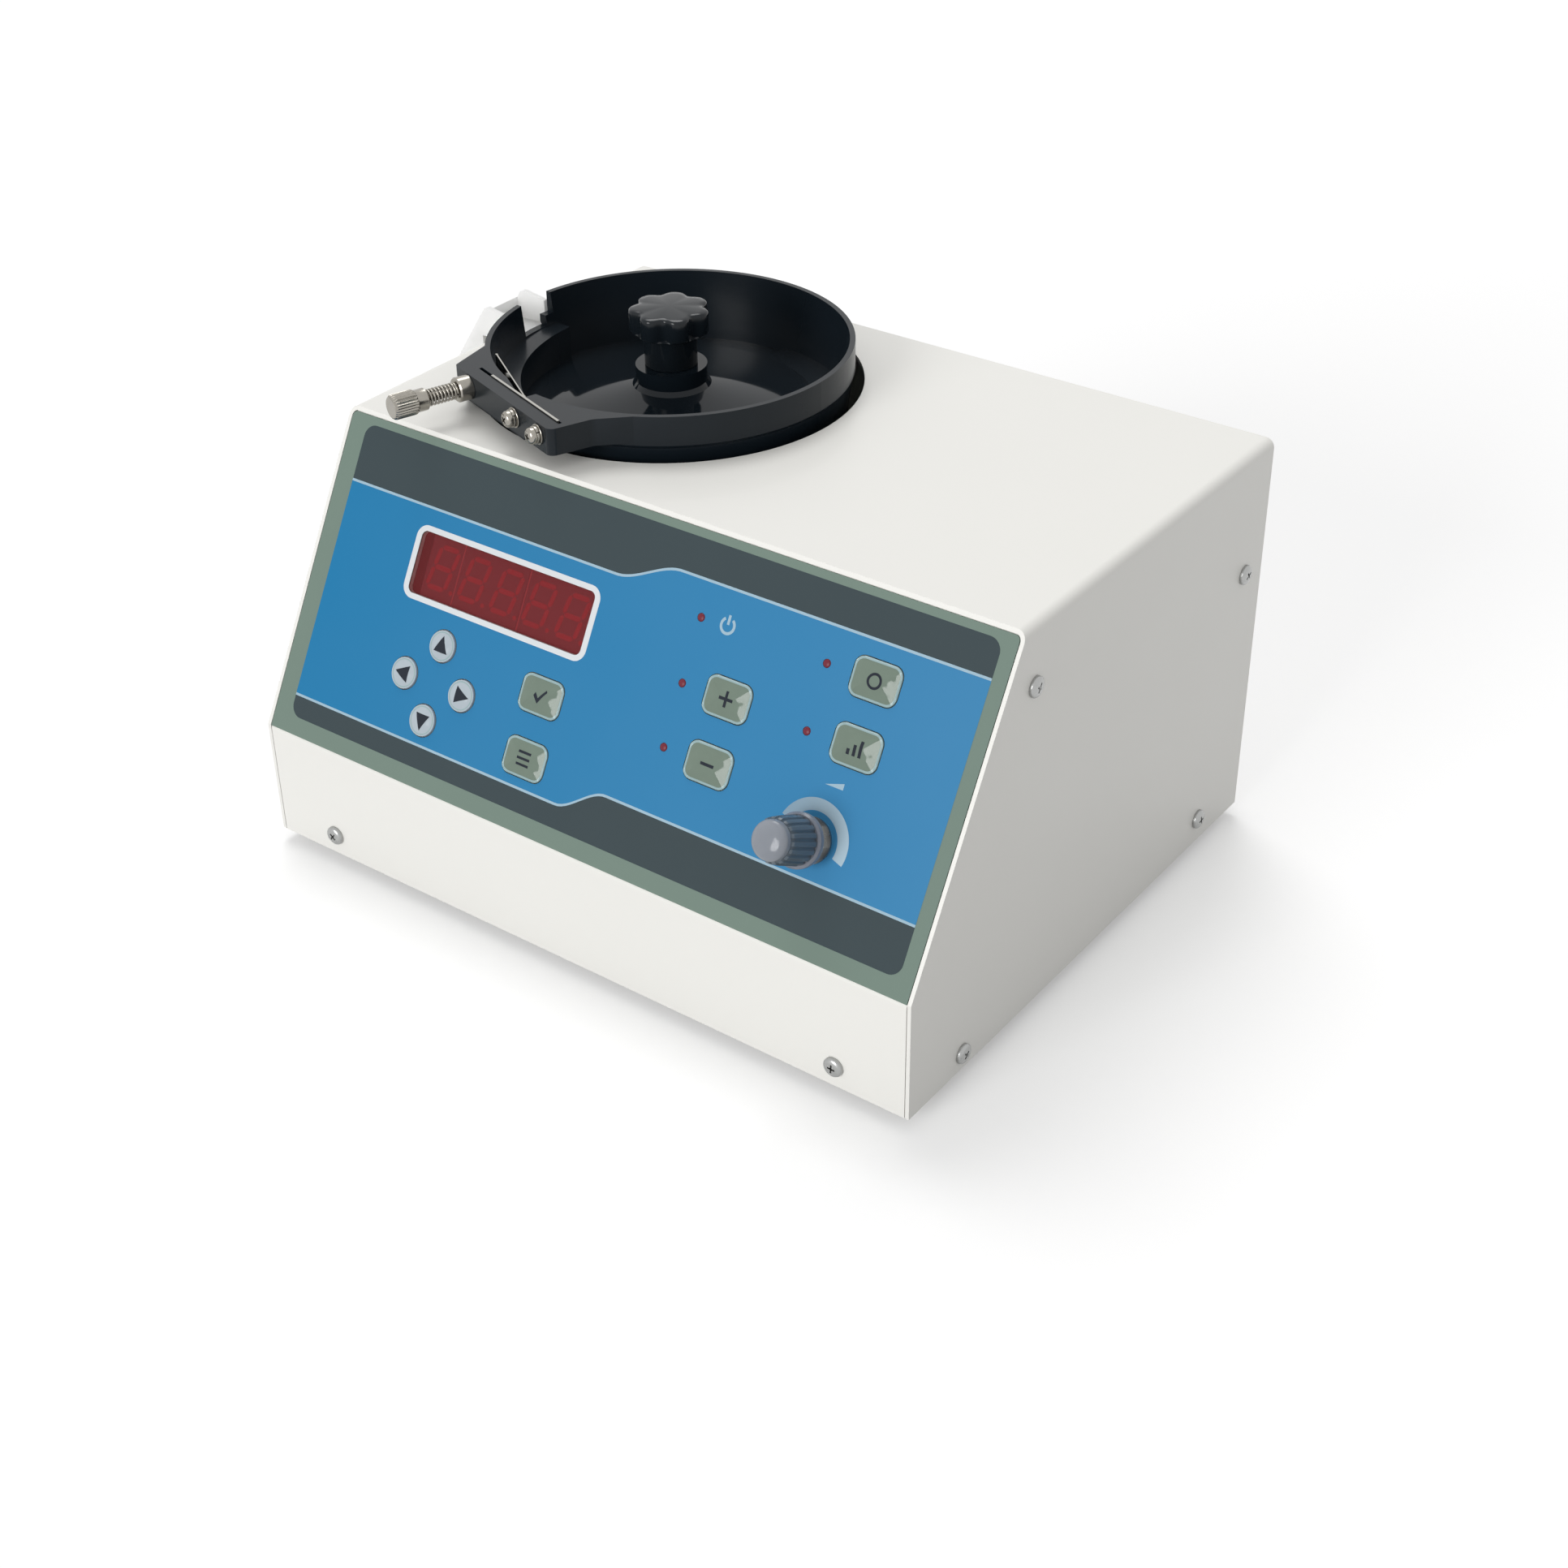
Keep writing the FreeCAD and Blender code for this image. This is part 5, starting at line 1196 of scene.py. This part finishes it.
@dataclass
class SpeedDial:
    """Smoky knob with a fluted grip, a thin skirt and a smooth domed cap."""

    spot: Point = (197.0, 31.0)
    lift: float = 6.0
    front: float = 23.0
    skirt_r: float = 7.7
    skirt_t: float = 2.4
    grip_r: float = 6.9
    cap_r: float = 5.7
    cap_t: float = 3.4
    flutes: int = 18
    flute_depth: float = 0.5
    bore_r: float = 3.0

    def build(self) -> None:
        """Builds the knob and dresses what holds it."""
        dress(STEEL, "speed_pot", "pot_shaft", "pot_washer", "pot_nut")
        place = HOUSING.panel(*self.spot)
        fit = Fitting("speed_dial", "grey_knob")
        skirt_top = self.lift + self.skirt_t
        grip_top = self.front - self.cap_t
        skirt = turned([(self.bore_r, self.lift + 0.1), (self.skirt_r - 0.3, self.lift),
                        (self.skirt_r, self.lift + 0.3), (self.skirt_r, skirt_top - 0.7),
                        (self.skirt_r - 0.5, skirt_top), (self.grip_r - 1.2, skirt_top)], 72)
        fit.add("knob_skirt", skirt, place, KNOB_SKIRT)
        grip = turned([(self.grip_r - 1.4, skirt_top - 0.2), (self.grip_r, skirt_top),
                       (self.grip_r, skirt_top + 0.4), (self.grip_r - 0.3, grip_top - 3.0),
                       (self.grip_r - 0.6, grip_top - 0.6), (self.grip_r - 1.1, grip_top),
                       (0.0, grip_top)], 216, self.fluted)
        fit.add("knob_grip", grip, place, KNOB_GRIP, stands_for=["speed_knob"])
        dome_foot = grip_top + self.cap_t * 0.4
        cap = [(0.0, grip_top), (self.cap_r - 0.2, grip_top), (self.cap_r, grip_top + 0.2),
               (self.cap_r - 0.1, dome_foot)] + domed(self.cap_r - 0.1, dome_foot, self.front, 7, 0.75)
        fit.add("knob_cap", turned(cap, 72), place, KNOB_CAP, stands_for=["speed_knob_cap"])

    def fluted(self, radius: float, height: float, angle: float) -> float:
        """Radius of the grip at an angle, with a rounded flute between each two ribs."""
        if radius < self.grip_r - 1.2:
            return radius
        hollow = max(0.0, math.cos(self.flutes * angle)) ** 0.8
        return radius - self.flute_depth * hollow


# Bowl
@dataclass
class FeederBowl:
    """Black spiral bowl and the lobed knob that holds it down."""

    lobes: int = 7
    lobe_r: float = 12.5
    waist: float = 2.1
    stem_r: float = 8.15
    stem_h: float = 10.8
    head_h: float = 7.3
    dome_h: float = 0.5
    bore_r: float = 4.5
    knob_turn: float = 15.5

    def build(self) -> None:
        """Dresses the bowl and builds the lobed knob."""
        dress(BLACK_MOULDING, "bowl")
        dress(BRASS, "knob_insert")
        dress(STEEL, "centre_stud")
        base = HOUSING.corner("star_knob").z
        head = base + self.stem_h
        top = head + self.head_h
        profile = [(self.bore_r, base), (self.stem_r - 0.4, base), (self.stem_r, base + 0.4),
                   (self.stem_r, head - 0.5), (self.stem_r + 0.5, head), (self.lobe_r - 0.9, head),
                   (self.lobe_r - 0.25, head + 0.35), (self.lobe_r, head + 1.0), (self.lobe_r, top - 0.8),
                   (self.lobe_r - 0.2, top - 0.3), (self.lobe_r - 0.6, top)]
        for part in (0.85, 0.7, 0.5, 0.3, 0.12, 0.0):
            profile.append(((self.lobe_r - 0.6) * part, top + self.dome_h * (1 - part ** 2)))

        def lobed(radius: float, height: float, angle: float) -> float:
            """Radius of the knob at an angle: round at the stem and hollowed between the head's lobes."""
            hollow = (0.5 - 0.5 * math.cos(self.lobes * angle)) ** 1.5
            return radius * (1 - self.waist / self.lobe_r * hollow * ease(height, head - 0.2, head + 0.3))

        axis = HOUSING.axis()
        place = shift(axis.x, axis.y) @ turn("Z", self.knob_turn)
        knob = turned(profile, 168, lobed)
        Fitting("clamp_knob", "black_plastic").add("lobed_knob", knob, place, BLACK_KNOB,
                                                   stands_for=["star_knob"], sharp=50.0)


@dataclass
class GateHardware:
    """Clamped strip, thin blade and the sprung thumb screw that sets the gap."""

    thumb: Point = (-12.9, 4.1)
    clamps: tuple = ((15.1, 3.5), (28.9, 3.5))
    head_r: float = 2.5
    head_h: float = 2.1
    washer_r: float = 3.1
    flat_t: float = 0.6
    stack_t: float = 1.6
    screw_r: float = 1.5
    shank_l: float = 6.0
    bushing_r: float = 3.8
    bushing_l: float = 4.5
    nose_r: float = 2.4
    nose_l: float = 4.0
    knurl_r: float = 3.8
    shoulder: float = 14.6
    collar_r: float = 3.4
    collar_l: float = 3.6
    end: float = 26.0
    ridges: int = 28
    ridge_depth: float = 0.3
    coil_r: float = 2.3
    wire_r: float = 0.35
    coil_turns: int = 7
    tip_inside: float = 3.5
    thread_depth: float = 0.22
    thread_turns: int = 16
    feed: float = 3.0

    def build(self) -> None:
        """Builds the hardware on the gate's face."""
        dress(SPRING_STEEL, "gate_strip", "gate_leaf")
        dress(STEEL, "gate_plunger")
        self.clamp_screws()
        self.thumb_screw()
        self.coil()

    def clamp_screws(self) -> None:
        """Two domed screws, each on a spring washer and a flat washer."""
        case = CaseShell(head_r=self.head_r, head_h=self.head_h, shank_l=self.shank_l,
                         cross_l=2.9, cross_w=0.7)
        screw = case.screw()
        bore, thick = self.screw_r + 0.1, self.flat_t
        flat = turned([(bore, 0.0), (self.washer_r - 0.05, 0.0), (self.washer_r, 0.08),
                       (self.washer_r, thick - 0.1), (self.washer_r - 0.1, thick), (bore, thick)], 48)
        parts = []
        for along, drop in self.clamps:
            place = HOUSING.gate(along, drop)
            parts.append(placed(flat, place))
            parts.append(placed(self.split_washer(), place))
            parts.append(placed(screw, place @ shift(0.0, 0.0, self.stack_t) @ turn("Z", along * 9)))
        screw.free()
        flat.free()
        Fitting("bowl_unit", "steel").add("clamp_screws", merged(parts), Matrix(), NICKEL, STEEL,
                                          stands_for=["gate_screws"])

    def split_washer(self) -> Shape:
        """Spring washer with its cut."""
        ring = arc((self.head_r + self.screw_r) / 2 + 0.2, self.head_r - self.screw_r, 40, 392, steps=44)
        return sheet([ring], self.flat_t, self.stack_t, 0.1)

    def thumb_screw(self) -> None:
        """Knurled head with a plain collar and a bevelled bright end, and its bushing."""
        collar_end = self.shoulder + self.collar_l
        profile = [(0.0, -self.tip_inside), (self.screw_r, -self.tip_inside)]
        thread_low, steps = self.bushing_l + 0.2, 2 * self.thread_turns
        for step in range(steps):
            height = thread_low + (self.shoulder - thread_low) * step / steps
            profile.append((self.screw_r - self.thread_depth * (step % 2), height))
        profile += [(self.screw_r, self.shoulder), (self.collar_r - 0.3, self.shoulder),
                    (self.collar_r, self.shoulder + 0.3), (self.collar_r, collar_end - 0.2),
                    (self.collar_r + 0.1, collar_end), (self.knurl_r - 0.35, collar_end),
                    (self.knurl_r, collar_end + 0.4)]
        rows = 6
        for row in range(1, rows):
            profile.append((self.knurl_r, collar_end + 0.4 + (self.end - collar_end - 1.2) * row / rows))
        profile += [(self.knurl_r, self.end - 0.8), (self.knurl_r - 0.5, self.end - 0.15),
                    (self.knurl_r - 0.75, self.end), (self.knurl_r - 1.6, self.end), (0.0, self.end - 0.05)]
        head = turned(profile, self.ridges * 6, self.knurled)
        place = HOUSING.gate(*self.thumb)
        Fitting("gate_screw", "steel").add("knurled_screw", head, place, NICKEL, stands_for=["thumb_screw"],
                                           sharp=28.0)
        bore = self.screw_r + 0.05
        bushing = turned([(bore, -self.nose_l), (self.nose_r, -self.nose_l), (self.nose_r, 0.0),
                          (self.bushing_r - 0.1, 0.0), (self.bushing_r, 0.1),
                          (self.bushing_r, self.bushing_l - 0.4), (self.bushing_r - 0.4, self.bushing_l),
                          (bore + 0.5, self.bushing_l), (bore, self.bushing_l - 0.4),
                          (bore, -self.nose_l)], 64)
        Fitting("bowl_unit", "steel").add("gate_collar", bushing, place, NICKEL, stands_for=["gate_bushing"])

    def knurled(self, radius: float, height: float, angle: float) -> float:
        """Radius of the head at an angle, with straight ridges on its outer part."""
        if radius < self.knurl_r - 0.2 or height < self.shoulder + self.collar_l + 0.2:
            return radius
        return radius - self.ridge_depth * (0.5 - 0.5 * math.cos(self.ridges * angle)) ** 0.7

    def coil(self) -> None:
        """Round wire spring with closed ends, between the bushing and the screw's head."""
        low = self.bushing_l + self.wire_r + 0.05
        high = self.shoulder - self.wire_r - 0.05
        steps = 32
        path = []
        for i in range((self.coil_turns + 2) * steps + 1):
            turns = i / steps
            part = min(1.0, max(0.0, (turns - 1) / self.coil_turns))
            closed = min(turns, 1.0) + max(0.0, turns - 1 - self.coil_turns)
            height = low + 2 * self.wire_r * closed + (high - low - 4 * self.wire_r) * part
            angle = 2 * math.pi * turns
            path.append(Vector((self.coil_r * math.cos(angle), self.coil_r * math.sin(angle), height)))
        place = HOUSING.gate(*self.thumb)
        spring = Fitting("bowl_unit", "steel").add("gate_coil", tube(path, self.wire_r, 3), place, NICKEL,
                                                   stands_for=["gate_spring"], sharp=60.0)
        outward = place.to_3x3() @ Vector((0.0, 0.0, 1.0))
        seat = place @ Vector((0.0, 0.0, self.bushing_l)) * MM
        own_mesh(spring)


# Left side and back
@dataclass
class ChuteSide:
    """White drop chute, its light gate, bracket and hasp."""

    def build(self) -> None:
        """Dresses the chute's nodes."""
        dress(WHITE_MOULDING, "chute")
        dress(DARK_TINT, "light_emitter", "light_receiver")
        dress(STEEL, "chute_bracket", "hasp_arm")


@dataclass
class RearFittings:
    """Mains inlet with metal pins, rocker switch with its marks, and fuse holder."""

    pins: tuple = ((-7.0, -1.5), (0.0, 2.5), (7.0, -1.5))
    pin_w: float = 2.0
    pin_h: float = 4.0
    pin_from: float = -14.0
    pin_to: float = -4.5
    mark_up: float = 4.6
    mark_r: float = 1.9
    mark_w: float = 0.4
    rocker_face: float = 1.6
    swing: float = 8.0
    dish: float = 8.0

    def build(self) -> None:
        """Dresses the rear nodes and adds pins and switch marks."""
        dress(BLACK_FITTING, "power_inlet", "power_switch", "switch_rocker", "fuse_holder")
        inlet = self.on_back("power_inlet")
        grow = 0.03         # the pins stand just proud of the solid's own
        pins = []
        for x, y in self.pins:
            pins.append(block(x - self.pin_w / 2 - grow, x + self.pin_w / 2 + grow, y - self.pin_h / 2 - grow,
                              y + self.pin_h / 2 + grow, self.pin_from, self.pin_to + grow, 0.3))
        Fitting("case", "steel").add("inlet_pins", merged(pins), inlet, STEEL)
        switch = self.on_back("power_switch") @ turn("X", self.swing)
        reach, line = self.mark_r, self.mark_w
        for side, name, outlines in ((1, "off_mark", [disc(reach), disc(reach - line)]),
                                     (-1, "on_mark", [bar((0.0, -reach), (0.0, reach), 1.25 * line)])):
            tilt = turn("X", side * self.dish)
            mark = sheet(outlines, 0.0, 0.04)
            place = switch @ shift(0.0, 0.0, self.rocker_face) @ tilt @ shift(0.0, side * self.mark_up, 0.02)
            Fitting("rocker", "black_plastic").add(name, mark, place, SWITCH_MARK)

    def on_back(self, node: str) -> Matrix:
        """Place on the rear wall at a CAD node's middle, with Z pointing out of it."""
        middle = HOUSING.middle(node)
        return shift(middle.x, HOUSING.high().y, middle.z) @ turn("X", -90)


@dataclass
class Inside:
    """Feeder and electronics under the cover."""

    def build(self) -> None:
        """Dresses the nodes that only openings show."""
        dress(CIRCUIT_BOARD, "control_board")
        dress(STEEL, "board_spacers", "board_screws", "leaf_springs", "lower_spring_clamps",
              "upper_spring_clamps")
        dress(BLACK_FITTING, "key_switches")
        dress(RUBBER, "isolators")
        dress(CAST_IRON, "feeder_base")
        dress(LAMINATION, "magnet_core", "armature", "transformer", "vibrating_table")
        dress(COPPER, "magnet_coil")


# Studio
@dataclass
class Studio:
    """Floor, soft light and the camera at the photograph's angle."""

    azimuth: float = 36.78
    elevation: float = 33.65
    roll: float = -0.78
    distance: float = 736.7
    lens: float = 55.2
    target: tuple = (139.8, 80.0, 26.9)     # from the cover's left, front, bottom corner
    sky: float = 0.5
    suns: tuple = (("key_sun", (-0.35, 0.35, 0.87), 0.3, 30.0),
                   ("fill_sun", (-0.10, -0.95, 0.28), 0.48, 28.0))
    floor_size: float = 8000.0
    floor_bounce: float = 0.5       # what soft light finds
    floor_seen: float = 0.86        # what the camera finds, before the glow
    floor_glow: float = 0.26

    def build(self) -> None:
        """Sets the stage."""
        self.camera()
        self.world()
        self.floor()
        for sun in self.suns:
            self.sun(*sun)
        bpy.context.scene.view_settings.view_transform = "Standard"

    def camera(self) -> None:
        """Places the camera."""
        az, el, roll = (math.radians(a) for a in (self.azimuth, self.elevation, self.roll))
        back = Vector((math.sin(az) * math.cos(el), -math.cos(az) * math.cos(el), math.sin(el)))
        right = Vector((math.cos(az), math.sin(az), 0.0))
        up = back.cross(right)
        tilted_right = right * math.cos(roll) + up * math.sin(roll)
        tilted_up = up * math.cos(roll) - right * math.sin(roll)
        aim = HOUSING.low() + Vector(self.target)
        data = bpy.data.cameras.new("camera")
        data.lens = self.lens
        data.sensor_width = 36.0
        data.clip_start = 0.01
        camera = linked("camera", data)
        turned_to = Matrix((tilted_right, tilted_up, back)).transposed().to_4x4()
        camera.matrix_world = Matrix.Translation((aim + back * self.distance) * MM) @ turned_to
        bpy.context.scene.camera = camera

    def plain_ray(self, graph: Graph) -> Signal:
        """One for rays from the camera, a mirror or glass, and zero for soft light."""
        path = graph.add("ShaderNodeLightPath")
        camera, glossy, through = (Signal(graph, path.outputs[name]) for name in
                                   ("Is Camera Ray", "Is Glossy Ray", "Is Transmission Ray"))
        return camera.highest(glossy).highest(through)

    def world(self) -> None:
        """White to the eye and in reflections, softer as a light."""
        world = bpy.data.worlds.new("studio")
        world.use_nodes = True
        bpy.context.scene.world = world
        graph = Graph(world.node_tree)
        background = world.node_tree.nodes["Background"]
        background.inputs["Color"].default_value = (1.0, 1.0, 1.0, 1.0)
        graph.feed(background.inputs["Strength"], self.sky + self.plain_ray(graph) * (1.0 - self.sky))

    def floor(self) -> None:
        """White floor that keeps the object's shadow."""
        made = bpy.data.materials.new("floor")
        made.use_nodes = True
        graph = Graph(made.node_tree)
        shader = made.node_tree.nodes["Principled BSDF"]
        plain = self.plain_ray(graph)
        for name, soft, direct in (("Base Color", self.floor_bounce, self.floor_seen),
                                   ("Emission Color", 0.0, self.floor_glow)):
            graph.feed(shader.inputs[name], graph.blend(plain, (soft,) * 3, (direct,) * 3))
        shader.inputs["Emission Strength"].default_value = 1.0
        shader.inputs["Roughness"].default_value = 1.0
        shader.inputs["Specular IOR Level"].default_value = 0.0
        slab = sheet([rounded(self.floor_size, self.floor_size, self.floor_size / 40)], -2.0, 0.0)
        mesh = mesh_of(slab, "floor")
        mesh.transform(Matrix.Scale(MM, 4))
        mesh.materials.append(made)
        linked("floor", mesh)

    def sun(self, name: str, toward: tuple, level: float, width: float) -> None:
        """A wide soft lamp, far away.

        Args:
            name: the lamp's name.
            toward: direction to the lamp.
            level: how bright a white surface that faces it gets.
            width: how wide the lamp looks, in degrees.
        """
        data = bpy.data.lights.new(name, "SUN")
        data.energy = level * math.pi
        data.angle = math.radians(width)
        lamp = linked(name, data)
        lamp.rotation_mode = "QUATERNION"
        lamp.rotation_quaternion = Vector(toward).to_track_quat("Z", "Y")


def main() -> None:
    """Builds every sub-assembly in order."""
    logging.basicConfig(level=logging.INFO, format="%(message)s")
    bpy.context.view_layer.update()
    keys = KeySet()
    panel = MembranePanel()
    steps = [("camera and studio", Studio().build), ("case", CaseShell().build),
             ("panel", lambda: panel.build(keys.holes())), ("keys", keys.build),
             ("speed dial", SpeedDial().build), ("bowl", FeederBowl().build),
             ("gate", GateHardware().build), ("chute", ChuteSide().build),
             ("rear", RearFittings().build), ("inside", Inside().build)]
    for name, step in steps:
        step()
        log.info("built: %s", name)


if __name__ == "__main__":
    main()
